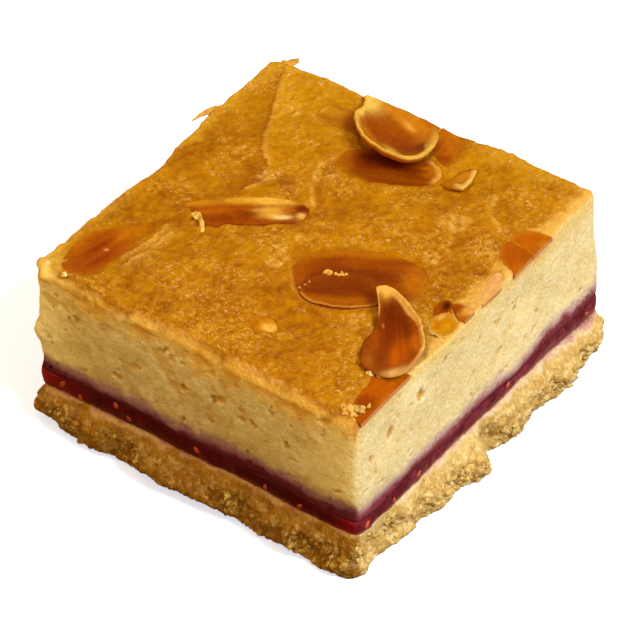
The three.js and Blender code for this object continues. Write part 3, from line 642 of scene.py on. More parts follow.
# pores of the cut faces: distance along the face, height, width, tallness and depth
facePores = {
    "front": [(-2.9, 22.5, 1.15, 0.75, 0.9), (9.5, 22.1, 1.0, 0.6, 0.8), (25.8, 30.3, 1.2, 0.8, 0.8),
              (-26.1, 25.5, 0.9, 0.5, 0.6), (-17.3, 17.9, 1.0, 0.55, 0.8), (-7.3, 28.4, 0.8, 0.5, 0.6),
              (1.2, 30.2, 1.6, 0.6, 0.5), (4.2, 23.6, 1.3, 0.7, 0.7), (11.8, 22.7, 0.9, 0.5, 0.7),
              (-2.7, 15.6, 0.9, 0.35, 0.7), (3.2, 18.3, 0.9, 0.45, 0.7), (-23.9, 30.7, 0.8, 0.9, 0.5),
              (18.6, 21.8, 0.8, 0.6, 0.7), (15.0, 27.0, 0.7, 0.4, 0.6), (-12.5, 22.0, 0.6, 0.4, 0.6)],
    "right": [(-26.9, 24.5, 0.9, 1.1, 0.9), (-18.3, 27.0, 1.1, 1.3, 1.0), (-10.9, 29.6, 0.7, 0.8, 0.7),
              (5.9, 19.0, 0.6, 0.9, 0.6), (15.9, 17.3, 0.5, 0.8, 0.6), (-2.9, 20.4, 0.5, 0.5, 0.6),
              (-22.0, 17.5, 0.7, 0.5, 0.7), (-31.5, 20.0, 0.6, 0.8, 0.5), (10.0, 26.5, 0.5, 0.6, 0.6)],
}
poreDraw = np.random.default_rng(7)
for side, length in (("front", 66), ("right", 70), ("back", 66), ("left", 70)):
    listed = facePores.setdefault(side, [])
    for i in range(80):
        size = 0.22 + 0.5 * poreDraw.random() ** 4
        listed.append(((poreDraw.random() - 0.5) * length, 13.0 + 19.5 * poreDraw.random(),
                       size * (0.8 + 0.7 * poreDraw.random()), size * (0.6 + 0.5 * poreDraw.random()),
                       0.3 + 0.4 * poreDraw.random()))


# how deep the pores go at each point, with the lips under them, painted pale as highlight, and their tops,
# painted dark as shadow
def poreDepth(p, out):
    depth, lip, roof = np.zeros(len(p)), np.zeros(len(p)), np.zeros(len(p))
    for side, along, facing in (("front", 0, -out[:, 1]), ("right", 1, out[:, 0]), ("back", 0, out[:, 1]),
                                ("left", 1, -out[:, 0])):
        mine = np.where(facing > 0.75)[0]
        s = p[mine, along] + clouds(p[mine], (0.5, 1.1, 21), (0.25, 0.6, 23))
        z = p[mine, 2] + clouds(p[mine], (0.45, 1.1, 22), (0.25, 0.6, 24))
        for at, height, wide, tall, deep in facePores[side]:
            near = np.where((abs(s - at) < 2 * wide) & (abs(z - height) < 2 * wide))[0]
            ds, dz = s[near] - at, z[near] - height
            up = (dz + 0.5 * math.sin(at * 37.0) * ds) / tall    # each pore leans its own way
            r = np.hypot(ds / wide, up)
            hole = deep * np.clip(1 - r * r, 0, 1) ** 0.5
            low = bell(r, 1.2, 0.15) * (dz < 0) * deep * (wide > 0.6)
            for field, value in ((depth, hole), (roof, hole * np.clip(up, 0, 1)), (lip, low)):
                field[mine[near]] = np.maximum(field[mine[near]], value)
    return depth, lip, roof


# sponge: two cut faces, two far faces and the crust in one skin
cellsX, cellsY = 204, 214
rimU, rimV = squareRim(cellsX, cellsY)
rimCount = len(rimU)
rimOut = outward(rimU, rimV, spongeCorner)
rimTurn = turnAt(rimU, rimV)
# pairs are shades in the shade of the front face and in the sun of the right one
crumbLook = {
    # the shade for the pore lips is a painted highlight; the pairs for the pores and their tops are painted
    # shade and painted shadow, and the hollow pair is painted shade
    "deep": (208, 176, 100), "raised": (239, 220, 162), "corner": (252, 240, 176), "lip": (246, 232, 186),
    "hollow": ((196, 150, 48), (232, 202, 128)), "poreShade": ((186, 136, 24), (196, 144, 40)),
    "roof": ((124, 74, 4), (150, 98, 28)),
    "goldBack": (214, 150, 50), "goldFront": (233, 187, 78), "goldRight": (233, 194, 104),
    "goldCorner": (240, 208, 110), "goldDeep": (204, 142, 18), "flakeStain": (226, 150, 84),
}
# jam soaked into the crumb: height over the jam, and its shades in the shade and in the sun
hazeLook = [(0, (84, 20, 28), (118, 44, 50)), (0.6, (106, 46, 64), (150, 86, 92)),
            (1.3, (136, 92, 102), (184, 142, 132)), (2.3, (154, 118, 114), (208, 178, 148)),
            (3.4, (174, 146, 112), (226, 200, 154))]


def leftCorner(x, y):
    return bell(x, -34.6, 4.5) * bell(y, -34.8, 4.5)


def rollPoint(u, v, share):
    at = slicePoint(u, v, spongeTop, spongeCorner)
    out = outward(u, v, spongeCorner)
    shift = 0.45 * crumbNoise(turnAt(u, v), 36, np.full(len(u), 3.0)) - bySide(rollIn, out) * share
    at = at + out * shift[:, None]
    level = crustHeight + (crustTop(at[:, 0], at[:, 1]) - crustHeight) * share ** 0.5
    drop = bySide(rollDown, out) * (1 - share) ** 2 * (1 - 0.75 * leftCorner(at[:, 0], at[:, 1]))
    return np.column_stack([at, level - drop])


# rings up the cut faces and over the rolled edge, then a grid over the top; share is 1 on the crust
def spongeSkin():
    foot = slicePoint(rimU, rimV, spongeFoot, spongeCorner)
    footZ = jamTop(foot[:, 0], foot[:, 1])
    flatOut = np.column_stack([rimOut, np.zeros(rimCount)])
    rings, outs = [np.column_stack([foot - rimOut * 1.2, footZ - 0.2])], [flatOut]
    shoulder = crustHeight - bySide(rollDown, rimOut) * (1 - 0.75 * leftCorner(foot[:, 0], foot[:, 1]))
    for level in np.linspace(0, 1, 61):
        at = slicePoint(rimU, rimV, spongeFoot + (spongeTop - spongeFoot) * level, spongeCorner)
        relief = 0.45 * crumbNoise(rimTurn, 36, np.full(rimCount, level * 3)) * smooth(0, 0.05, level)
        z = footZ + (shoulder - footZ) * level - 0.2 * (level == 0)
        rings.append(np.column_stack([at + rimOut * relief[:, None], z]))
        outs.append(flatOut)
    sideCount = len(rings) * rimCount
    shares = np.linspace(0, 1, 8)[1:]
    for share in shares:
        rings.append(rollPoint(rimU, rimV, share))
        tilt = np.column_stack([rimOut * (1 - share), np.full(rimCount, 0.15 + share)])
        outs.append(tilt / np.linalg.norm(tilt, axis=1, keepdims=True))
    lineX, lineY = np.linspace(-1, 1, cellsX + 1)[1:-1], np.linspace(-1, 1, cellsY + 1)[1:-1]
    v, u = (g.ravel() for g in np.meshgrid(lineY, lineX, indexing="ij"))
    u = np.where((u == 0) & (v == 0), 1e-6, u)
    reach = np.maximum(abs(u), abs(v))
    rim = rollPoint(u / reach, v / reach, 1)
    middle = slicePoint(np.zeros(1), np.zeros(1), spongeTop, spongeCorner)[0]
    flat = middle + (rim[:, :2] - middle) * reach[:, None]
    inner = np.column_stack([flat, crustTop(flat[:, 0], flat[:, 1])])
    points = np.concatenate(rings + [inner])
    out = np.concatenate(outs + [np.tile([0.0, 0.0, 1.0], (len(inner), 1))])
    share = np.concatenate([np.zeros(sideCount), np.repeat(shares, rimCount), np.ones(len(inner))])

    faces = [ringFaces(i * rimCount, (i + 1) * rimCount, rimCount) for i in range(len(rings) - 1)]
    grid = np.zeros((cellsY + 1, cellsX + 1), int)
    edge = (len(rings) - 1) * rimCount
    grid[0, :] = edge + np.arange(cellsX + 1)
    grid[:, cellsX] = edge + cellsX + np.arange(cellsY + 1)
    grid[cellsY, :] = edge + 2 * cellsX + cellsY - np.arange(cellsX + 1)
    grid[1:, 0] = edge + 2 * cellsX + 2 * cellsY - np.arange(1, cellsY + 1)
    grid[1:-1, 1:-1] = edge + rimCount + np.arange(len(inner)).reshape(cellsY - 1, cellsX - 1)
    faces.append(np.stack([grid[:-1, :-1], grid[:-1, 1:], grid[1:, 1:], grid[1:, :-1]], -1).reshape(-1, 4))
    return points, out, share, np.concatenate(faces).tolist() + [list(range(rimCount - 1, -1, -1))]


# crumb and pores on the cut faces, relief on the crust, and what has happened to the left corner and edge
def spongeShape(p, out, skin):
    x, y, z = p.T
    crumb = 0.08 * cloud(p, 2.3, 31) + 0.07 * skin.clumps + 0.05 * skin.fine - 0.22 * skin.hollow
    crumb = (crumb + 0.08 * skin.lip) * (1 - 0.5 * skin.right)
    shift = skin.side * smooth(0.0, 0.8, skin.above) * (crumb - 0.8 * skin.pores)
    shift += (1 - skin.side) * skin.relief
    shift += skin.side * bell(x, -35.2, 3) * bell(y, -34.6, 3) * bell(z, 19.0, 2)
    shift += 0.5 * leftCorner(x, y) * smooth(19, 23, z) + skin.block * (0.4 + 0.9 * cloud(p, 1.7, 37))
    # the far left edge bulges a little towards the back corner and is worn away halfway along
    bulge = smooth(8, 16, y) * smooth(37, 33, y) * smooth(26, 31, z) * smooth(-31, -34.5, x)
    p = p + out * shift[:, None]
    p[:, 0] -= bulge
    p[:, 0] += 1.4 * bell(p[:, 1], -2, 7) * smooth(20, 30, p[:, 2]) * smooth(-27, -34.5, p[:, 0])
    return p


def crustColour(p, skin):
    x, y, fade, look = p[:, 0], p[:, 1], skin.fade, crustLook
    front, right, left, back = y + 35.5, 32.4 - x, x + 34.8, 35.8 - y    # mm in from each edge
    mottle = clouds(p, (0.4, 6.0, 43), (0.3, 3.2, 46), (0.28, 1.6, 44), (0.3, 0.9, 45)) + skin.relief
    crust = between(look["dark"], look["light"], smooth(-0.95, 0.9, mottle))
    crust = dye(crust, look["patch"], 0.25 * skin.patch)
    crust = dye(crust, look["back"], (0.6 - 0.4 * smooth(-12, 18, x)) * smooth(6, 28, y))
    crust = crust * (1 - 0.06 * smooth(4, -24, x) * smooth(26, 10, y))[:, None]
    crust = dye(crust, look["frontEdge"], 0.4 * smooth(5, 0, front + 1.5 * fade))
    crust = crust * (1 - 0.06 * smooth(11, 4, front + fade) * smooth(14, 4, x))[:, None]
    crust = dye(crust, look["backEdge"], 0.75 * smooth(4.5, 0, back + 1.6 * fade))
    crust = dye(crust, look["leftEdge"], 0.7 * smooth(3.4, 0, left + 1.2 * fade))
    crust = dye(crust, look["rightEdge"], 0.8 * smooth(5.5, 0, right + 1.6 * fade))
    crust = dye(crust, look["rightRim"], 0.85 * smooth(4.2, 0.4, right + 0.9 * fade))
    crust = dye(crust, look["flakeStain"], 0.35 * skin.stain)
    # the low side of the two long cracks is painted darker, as shade
    for step, amount in zip(crustSteps, (0.6, 0.4)):
        near, beside = besideLine(x + 0.6 * fade, y, step["line"])
        crust = dye(crust, look["crackShade"], amount * np.exp(-near / 3.0) * (beside > 0))
    crust = dye(crust, look["cornerBlock"], 0.85 * np.clip(1.3 * skin.block, 0, 1))
    crust = dye(crust, look["torn"], np.clip(skin.pale, 0, 1))
    # painted shade in the pits
    crust = dye(crust, look["pitShade"], np.clip(-skin.pale, 0, 0.8))
    crust = dye(crust, look["toasted"], 0.6 * bell(np.hypot(x + 1.2, y + 25.5), 0, 4.5))
    sand = skin.sand + 0.3 * smooth(16, 2, front) + 0.5 * smooth(16, 2, right) + 0.4 * smooth(4, 0, left)
    return crust, np.clip(sand, 0, 1.3) * (1 - 0.6 * skin.stain)


# the crumb's mottle painted paler where it stands out and darker in its hollows, partly as painted light and
# shade, darker down the front face, golden under the crust
def crumbColour(p, skin):
    (x, y, z), front, right, look = p.T, skin.front, skin.right, crumbLook
    uneven = (0.28 * skin.fine + 0.3 * skin.clumps + 0.25 * skin.broad) * (1 - 0.45 * right)
    inside = between(look["deep"], look["raised"], np.clip(0.5 + uneven, 0, 1))
    corner = bell(x, -35, 7) + 0.8 * bell(x, 33, 7)
    # the front face is painted darker than the sunny right face, as shade, and darker still towards its
    # bottom and lighter towards its corners; the right face is painted a little bluer, as in the sun, and a
    # little darker towards its front end
    inside = inside * (0.93 + 0.2 * right - front * (0.04 + 0.17 * smooth(31, 13, z) - 0.3 * corner))[:, None]
    inside = inside * (1 - 0.03 * right * smooth(12, -24, y))[:, None]
    inside[:, 2] *= 1 + 0.05 * right
    inside = dye(inside, look["corner"], 0.55 * corner * front)
    # hollows and pores are painted darker as shade, with a painted shadow under the pore tops
    for key, amount in (("hollow", 0.5 * skin.hollow), ("poreShade", np.clip(2.4 * skin.pores, 0, 0.92)),
                        ("roof", np.clip(1.6 * skin.roof, 0, 0.85))):
        inside = blend(inside, between(*look[key], right), amount)
    # the pale lips under the bigger pores are a painted highlight
    inside = dye(inside, look["lip"], np.clip(0.6 * skin.lip, 0, 0.6))
    gold = between(look["goldBack"], look["goldFront"], front)
    gold = dye(gold, look["goldRight"], right)
    gold = dye(gold, look["goldCorner"], 0.7 * front * bell(x, -35, 6))
    gold = dye(gold, look["goldDeep"], 0.7 * front * smooth(0.1, 0.8, cloud(p, 2.4, 36) + 0.4 * skin.fine))
    depth = 2.0 + 4.2 * front + (2.6 + 2.4 * smooth(-5, 25, y)) * right
    ragged = skin.down - 0.2 - 0.8 * front + (0.6 + 1.1 * front) * skin.fade
    return blend(inside, gold, smooth(1.0, 0.0, ragged / depth))


# jam soaked up into the crumb, dark at first and then as a purple haze
def soakJam(colour, p, skin):
    x, y = p[:, 0], p[:, 1]
    level = skin.above - 0.2 - 0.7 * smooth(-6, 3, x) * skin.front + clouds(p, (0.5, 2.6, 47), (0.3, 0.9, 48))
    level -= (0.4 + 0.6 * smooth(8, 25, y)) * skin.right
    steps, shady, sunny = zip(*hazeLook)
    haze = [np.stack([np.interp(level, steps, row) for row in np.array([tone(*c) for c in shades]).T], 1)
            for shades in (shady, sunny)]
    return blend(colour, blend(*haze, skin.right), smooth(4.4, 1.6, level) * skin.side)


def makeSponge():
    p, out, share, faces = spongeSkin()
    x, y, z = p.T
    skin = SimpleNamespace(side=1 - smooth(0.2, 0.8, share), above=z - jamTop(x, y))
    skin.relief, skin.pale, skin.sand, skin.stain, skin.patch = crustRelief(p)
    skin.front, skin.right = smooth(0.3, 0.9, -out[:, 1]), smooth(0.3, 0.9, out[:, 0])
    skin.clumps, skin.fine, skin.broad = cloud(p, 1.7, 32), cloud(p, 0.9, 33), cloud(p, 4.2, 56)
    skin.hollow = smooth(0.3, 0.8, clouds(p, (1, 2.7, 34), (0.45, 1.1, 35))) * (1 - 0.6 * skin.right)
    skin.pores, skin.lip, skin.roof = (d * smooth(1.0, 3.0, crustHeight - z) for d in poreDepth(p, out))
    skin.block = leftCorner(x, y) * smooth(29, 32, z)
    p = spongeShape(p, out, skin)

    skin.down = crustHeight - p[:, 2]
    skin.fade = fade = skin.broad + clouds(p, (0.6, 1.6, 42), (0.35, 0.8, 40))
    # the crust ends at the rolled edge, raggedly at the front
    rolled = (share > 0) & (share < 1)
    brown = smooth(0.1, 1.0, share + (0.3 + 0.25 * skin.front) * fade * rolled)
    over = smooth(1.2, -0.4, skin.down - 2.6 + 1.5 * fade)
    brown = np.maximum(brown, 0.5 * skin.front * (share == 0) * over)
    crust, sand = crustColour(p, skin)
    colour = blend(crumbColour(p, skin), crust, brown)
    # the light catches the top of the front face, just under the crust
    lit = skin.front * smooth(5.6, 2.2, skin.down + 0.7 * fade) * smooth(0.7, 0.2, share)
    colour = colour * (1 + 0.07 * lit)[:, None]
    # the two flakes at the right edge have coloured the crumb under them
    stained = smooth(9.0, 10.5, p[:, 1]) * smooth(22.0, 20.5, p[:, 1])
    stained = stained * smooth(2.6, 0.7, skin.down + 0.5 * fade)
    colour = dye(colour, crumbLook["flakeStain"], 0.7 * skin.right * stained)
    colour = soakJam(colour, p, skin)
    # pale flecks are thicker on the sunny right face, partly as painted highlights
    onCut = (0.2 + 0.8 * skin.right) * smooth(0.8, 3.4, skin.above)
    sand = sand * (1 - skin.side) + onCut * skin.side
    piece = makePiece("almondSponge", p, faces, crumbMaterial, "sponge", "almond_sponge", tint=colour,
                      sand=sand)
    piece.data.materials.append(crustMaterial)
    piece.data.polygons.foreach_set("material_index", [int(brown[f[0]] > 0.5) for f in faces])
    print("sponge ready,", len(p), "points")


makeSponge()


# jam: a glossy band squeezed out between the layers; pairs are shades in the shade and in the sun
jamLook = {
    "deep": ((62, 1, 8), (100, 28, 38)), "thin": ((82, 6, 14), (130, 50, 58)),
    "foot": ((124, 44, 44), (170, 92, 92)), "seed": ((164, 66, 22), (206, 96, 58)),
    # the two end shades are a painted glow at the near corners
    "leftEndGlow": (150, 22, 16), "nearEndGlow": (146, 10, 24), "bead": (74, 6, 18),
}


def makeJam():
    floor = slicePoint(rimU, rimV, spongeFoot, spongeCorner)
    low, high = baseTop(floor[:, 0], floor[:, 1]), jamTop(floor[:, 0], floor[:, 1])
    rings = [np.column_stack([floor - rimOut * 1.5, low])]
    for t in np.linspace(0, 1, 16):
        at = np.column_stack([floor, low + (high - low) * t])
        uneven = clouds(at, (0.12, 3.0, 51), (0.08, 1.1, 52)) * (1 - t ** 6)
        swell = 0.9 * t * (1 - t) + uneven - 0.12 * t ** 6
        wavy = 0.25 * cloud(at, 1.6, 53) * (t in (0, 1))
        rings.append(at + np.column_stack([rimOut * swell[:, None], wavy]))
    rings.append(np.column_stack([floor - rimOut * 1.5, high]))
    p = np.concatenate(rings)
    x, y, z = p.T
    sunny = 0.9 * smooth(32.0, 32.8, x)
    deep, thin, foot = (between(*jamLook[key], sunny) for key in ("deep", "thin", "foot"))
    depth = clouds(p, (1, 3.4, 54), (0.6, 1.2, 55))
    colour = blend(deep, thin, smooth(-0.9, 0.9, depth))
    colour = blend(colour, foot, 0.7 * smooth(0.8, 0.0, z - baseTop(x, y) + 0.4 * depth))
    # the jam at the two near corners is painted brighter red, a painted glow of light through it
    colour = dye(colour, jamLook["leftEndGlow"], 0.7 * bell(np.hypot(x + 35, y + 35), 0, 7))
    nearEndGlow = bell(np.hypot(x - 33, y + 36.5), 0, 3.5)
    colour = dye(colour, jamLook["nearEndGlow"], 0.75 * nearEndGlow * (1 - 0.7 * sunny))
    faces = stackFaces(len(rings), rimCount)
    makePiece("raspberryJam", p, faces, jamMaterial, "jam", "raspberry_jam", tint=colour)


# points and faces of a ball to be made into seeds, beads and crumbs
def ballOf(make, **sizes):
    mesh = bmesh.new()
    make(mesh, radius=1, **sizes)
    points = np.array([v.co for v in mesh.verts])
    faces = [[v.index for v in f.verts] for f in mesh.faces]
    mesh.free()
    return points, faces


egg = ballOf(bmesh.ops.create_uvsphere, u_segments=10, v_segments=6)
lump = ballOf(bmesh.ops.create_icosphere, subdivisions=2)


# many small bodies gathered into one piece
class Pile:
    def __init__(self):
        self.points, self.faces, self.tints, self.count = [], [], [], 0

    def add(self, points, faces, tint):
        self.points.append(points)
        self.faces += [[i + self.count for i in f] for f in faces]
        self.tints.append(np.tile(tint, (len(points), 1)) if np.ndim(tint) == 1 else tint)
        self.count += len(points)

    def piece(self, name, material, slot):
        points, tints = np.concatenate(self.points), np.concatenate(self.tints)
        makePiece(name, points, self.faces, material, slot, tint=tints)


def turned(draw):
    q = draw.normal(size=4)
    q /= np.linalg.norm(q)
    w, x, y, z = q
    return np.array([[1 - 2 * (y * y + z * z), 2 * (x * y - z * w), 2 * (x * z + y * w)],
                     [2 * (x * y + z * w), 1 - 2 * (x * x + z * z), 2 * (y * z - x * w)],
                     [2 * (x * z - y * w), 2 * (y * z + x * w), 1 - 2 * (x * x + y * y)]])


# a lump roughened, squashed and turned by chance
def crumbShape(draw, size, roughness, flattest):
    shape = lump[0] * (1 + 0.55 * cloud(lump[0] + draw.uniform(0, 40, 3), *roughness)[:, None])
    return shape * size * draw.uniform(flattest, 1.15, 3) @ turned(draw)


# a place on the jam's face: side, distance along it, share of the way up
def jamPlace(side, along, up):
    u, v = {"front": (along / 34.0, -1.0), "right": (1.0, along / 36.5), "back": (along / 34.0, 1.0),
            "left": (-1.0, along / 36.0)}[side]
    u, v = np.array([u]), np.array([v])
    at = slicePoint(u, v, spongeFoot, spongeCorner)[0]
    low, high = baseTop(at[0], at[1]), jamTop(at[0], at[1])
    out = outward(u, v, spongeCorner)[0]
    return np.array([*(at + out * up * (1 - up)), low + (high - low) * up]), np.array([*out, 0.0])


# seeds that show at the cut: side, distance along it, share of the way up the jam
shownSeeds = [("front", -28.4, 0.6), ("front", -16.7, 0.75), ("front", -13.9, 0.35), ("front", 0.6, 0.65),
              ("front", 15.1, 0.35), ("front", 22.3, 0.38), ("right", -34.2, 0.5), ("right", -26.5, 0.4),
              ("right", -19.4, 0.5), ("right", 7.4, 0.8), ("right", 32.0, 0.55), ("front", -24.6, 0.2)]


def makeSeeds():
    draw = np.random.default_rng(19)
    shown = list(shownSeeds)
    for side in ("back", "left"):
        shown += [(side, (draw.random() - 0.5) * 60, 0.25 + 0.5 * draw.random()) for i in range(8)]
    points, faces = egg
    pile = Pile()
    for side, along, up in shown:
        at, out = jamPlace(side, along, up)
        lean = draw.uniform(-0.9, 0.9)
        long = np.array([0, 0, 1]) * math.cos(lean) + np.cross(out, [0, 0, 1]) * math.sin(lean)
        seed = points * np.array([0.78, 0.5, 0.3]) * draw.uniform(0.85, 1.1)
        seed[:, 1] *= 1 - 0.3 * points[:, 0]
        tint = tone(*jamLook["seed"][side == "right"]) * draw.uniform(0.7, 1.1)
        pile.add(at + seed @ np.array([long, np.cross(out, long), out]), faces, np.clip(tint, 0, 1))
    pile.piece("jamSeeds", seedMaterial, "jam")


# dark beads of jam caught in the sponge just above the layer
def makeBeads():
    draw = np.random.default_rng(23)
    points, faces = egg
    pile = Pile()
    for side, length in (("front", 66), ("right", 72), ("back", 66), ("left", 70)):
        for i in range(18):
            at, out = jamPlace(side, (draw.random() - 0.5) * length * 0.98, 1.0)
            size = draw.uniform(0.1, 0.26)
            at = at + [0, 0, draw.uniform(-0.1, 1.3) * draw.random() + 0.1] - out * size * 0.45
            shape = points * size * draw.uniform(0.7, 1.5, 3) @ turned(draw)
            pile.add(at + shape, faces, tone(*jamLook["bead"]) * draw.uniform(0.7, 1.2))
    pile.piece("jamBeads", jamMaterial, "jam")


makeJam()
makeSeeds()
makeBeads()
print("jam ready")


# shortbread base: packed under the jam, crumbling into clumps below; pairs are sunny and shady shades
baseLook = {
    "deep": ((194, 154, 76), (124, 78, 2)), "light": ((228, 194, 120), (166, 118, 24)),
    # the crevice pair is painted shade in the crevices
    "grain": ((242, 210, 132), (224, 194, 104)), "creviceShade": ((150, 98, 30), (104, 62, 4)),
    "cream": ((234, 208, 168), (198, 158, 106)), "pink": ((206, 146, 134), (168, 104, 84)),
    "crumb": ((250, 218, 128), (206, 164, 66)),
}
# clusters of crumbs on the base: side, distance along it and height, spread, count and size
baseClusters = [dict(zip(("side", "at", "spread", "count", "size"), row)) for row in (
    ((1, 0), (-36.0, 6.0), (2.4, 1.8), 30, 0.95), ((1, 0), (-27.0, 4.2), (1.8, 1.6), 12, 1.2),
    ((1, 0), (-9.5, 3.2), (4.5, 1.8), 54, 1.4), ((1, 0), (6.0, 2.6), (2.5, 1.4), 14, 1.1),
    ((1, 0), (24.0, 2.6), (7.0, 1.4), 30, 1.1), ((0, -1), (-15.5, 5.2), (3.2, 1.1), 34, 0.9),
    ((0, -1), (-5.0, 6.0), (2.0, 0.9), 12, 0.8), ((0, -1), (9.0, 4.6), (4.0, 1.2), 24, 0.9),
    ((0, -1), (26.0, 3.6), (4.5, 1.8), 34, 1.0), ((0, -1), (-29.0, 4.6), (3.0, 1.2), 12, 0.8),
    ((0, 1), (4.0, 4.0), (16.0, 1.6), 50, 1.0), ((-1, 0), (-4.0, 4.0), (16.0, 1.6), 50, 1.0))]
# how far the crumbling has eaten into the two near sides, in mm, at places along them
eaten = {
    "right": [(-36, 0.2), (-33, 1.3), (-28, 0.9), (-20, 1.3), (-15.5, 0.2), (-12, 0.6), (-7, -0.1), (-4, 0.9),
              (-1, 2.2), (2.5, 0.2), (9.5, 1.3), (13, 0.6), (18, -0.5), (23.5, -1.4), (27, 0.1), (32, 0.6)],
    "front": [(-34, -0.9), (-28, -0.2), (-20.5, -1.2), (-16, -0.1), (-6, -1.1), (1.5, -0.9), (6, -0.4),
              (11, 0.5), (14, 0.5), (17, -0.9), (19.5, -0.3), (22, -0.8), (25, -0.1)],
}


# notches and chunks of the right side, the same as in the solids
def brokenAway(y):
    notches = 2.0 * bell(y, -29, 3.4) + 1.4 * bell(y, 1.5, 2.6)
    chunks = 0.9 * bell(y, -6, 4.0) + 1.0 * smooth(-20, -15, y) * smooth(-1.5, -3.5, y)
    return notches - chunks - 0.7 * bell(y, -5, 2.2) - 0.95 * smooth(3, 6, y)


def nearCluster(points, outs, cluster, wider=1.0):
    facing = outs[:, :2] @ np.array(cluster["side"])
    along = points[:, 1] if cluster["side"][0] else points[:, 0]
    (a, z), (spreadA, spreadZ) = cluster["at"], cluster["spread"]
    return bell(along, a, spreadA * wider) * bell(points[:, 2], z, spreadZ * wider) * (facing > 0.6)


# rings up the side of the base and in under the jam, and how strongly each point may crumble
def baseSkin():
    u, v = squareRim(300, 320)
    count = len(u)
    out = outward(u, v, baseCorner)
    foot = slicePoint(u, v, baseFoot, baseCorner)
    rim = slicePoint(u, v, spongeFoot, spongeCorner)
    rimZ = baseTop(rim[:, 0], rim[:, 1])
    swell = bySide(baseSwell, out) * (1 - np.where(abs(u) < abs(v), u, v) ** 2)
    broken = np.where(u >= 0.999999, brokenAway(foot[:, 1]), 0)
    broken += smooth(0.6, 0.95, out[:, 0]) * np.interp(foot[:, 1], *zip(*eaten["right"]))
    broken += smooth(0.6, 0.95, -out[:, 1]) * np.interp(foot[:, 0], *zip(*eaten["front"]))
    zRows = (0, 0.9, 2.4, 4.0, 5.6, 6.7)
    insets, crags = (0.8, 0.2, 0, 0, 0.3, 1.0), (0.6, 0.9, 1, 1, 0.8, 0.4)
    rings, strength = [], []
    for z in np.linspace(0, 6.7, 27):
        crag = 0.8 * crumbNoise(turnAt(u, v), 64, np.full(count, z / 3.0))
        shift = swell + (crag - broken) * np.interp(z, zRows, crags) - np.interp(z, zRows, insets)
        rings.append(np.column_stack([foot + out * shift[:, None], np.full(count, z)]))
        strength.append((0.6 + 0.4 * smooth(0, 0.6, z)) * (1 - 0.65 * smooth(4.8, 6.5, z)))
    last, top = rings[-1], np.column_stack([rim, rimZ])
    for t in np.linspace(0, 1, 7)[1:]:
        arc = last + (top - last) * t
        arc[:, 2] += 0.25 * math.sin(math.pi * t)
        rings.append(arc)
        strength.append(0.25 * (1 - t))
    rings.append(np.column_stack([rim - out * 1.5, rimZ - 0.1]))
    strength.append(0.0)
    outs = np.tile(np.column_stack([out, np.zeros(count)]), (len(rings), 1))
    return np.concatenate(rings), outs, np.repeat(strength, count), stackFaces(len(rings), count), count


def makeBase():
    points, outs, strength, faces, count = baseSkin()
    warp = np.stack([cloud(points, 1.6, seed) for seed in (75, 76, 77)], 1)
    first, second = grains(points + 0.9 * warp, 4.0, 61)[:2]
    midFirst, midSecond, midOwn = grains(points + 0.6 * warp, 1.9, 65)
    fineFirst, fineSecond, fineOwn = grains(points + 0.3 * warp, 0.95, 57)
    clump = smooth(0.0, 0.3, second - first)
    knob = smooth(0.0, 0.4, midSecond - midFirst)
    crumb = smooth(0.0, 0.45, fineSecond - fineFirst)
    loose = smooth(-0.1, 0.4, clouds(points, (1, 7.0, 73), (0.5, 3.0, 74)))
    loose = loose * (0.6 - 0.5 * smooth(30, 33, points[:, 0]))
    crumbling = np.max([nearCluster(points, outs, c, 1.2) for c in baseClusters], axis=0)
    loose = np.maximum(loose, smooth(0.1, 0.6, crumbling + 0.2 * warp[:, 0]))
    shift = clouds(points, (0.75, 4.6, 60), (0.4, 2.3, 62), (0.2, 1.2, 69), (0.1, 0.6, 78))
    shift += 0.4 * (clump - 0.8)
    shift += (0.15 + 0.7 * loose) * (knob - 0.6) * (0.4 + midOwn)
    shift += 0.3 * loose * (crumb - 0.6) * (0.3 + fineOwn)
    points = points + outs * (strength * shift)[:, None]
    points[:, 2] += strength * 0.25 * cloud(points, 1.2, 70)
    points[:count, 2] = 0
    points[:, 2] = np.maximum(points[:, 2], 0)

    x, y, z = points.T
    shady = smooth(0.2, 0.8, np.maximum(-outs[:, 1], -outs[:, 0]))
    shade = {key: between(*pair, shady) for key, pair in baseLook.items()}
    soft = 0.45 + 0.4 * (midOwn - 0.5) + clouds(points, (0.35, 2.6, 79), (0.25, 0.9, 80))
    colour = blend(shade["deep"], shade["light"], np.clip(soft, 0, 1))
    grainy = loose * np.clip(strength, 0, 1)
    colour = blend(colour, shade["grain"], grainy * smooth(0.3, 0.9, fineOwn) * crumb)
    # the crevices between clumps and crumbs are painted darker as shade
    creviceShade = (1 - clump) * 0.5 + (0.25 + 0.5 * grainy) * (1 - knob) + grainy * (1 - crumb)
    colour = blend(colour, shade["creviceShade"], 0.45 * np.clip(creviceShade, 0, 1) * np.clip(strength, 0, 1))
    toJam = baseTop(x, y) - z + 0.3 * cloud(points, 1.5, 72)
    colour = blend(colour, shade["cream"], 0.75 * smooth(0.7, 0.2, toJam + 0.45 * cloud(points, 2.4, 71)))
    colour = blend(colour, shade["pink"], 0.9 * smooth(0.3, -0.15, toJam))
    # fewer flecks on the shady sides
    sand = (1 - 0.75 * shady) * smooth(0.2, 1.6, toJam)
    makePiece("shortbreadBase", points, faces, baseMaterial, "shortbread", "shortbread_base", tint=colour,
              sand=sand)
    print("base ready,", len(points), "points")
    return points, outs, strength * (0.3 + loose), colour


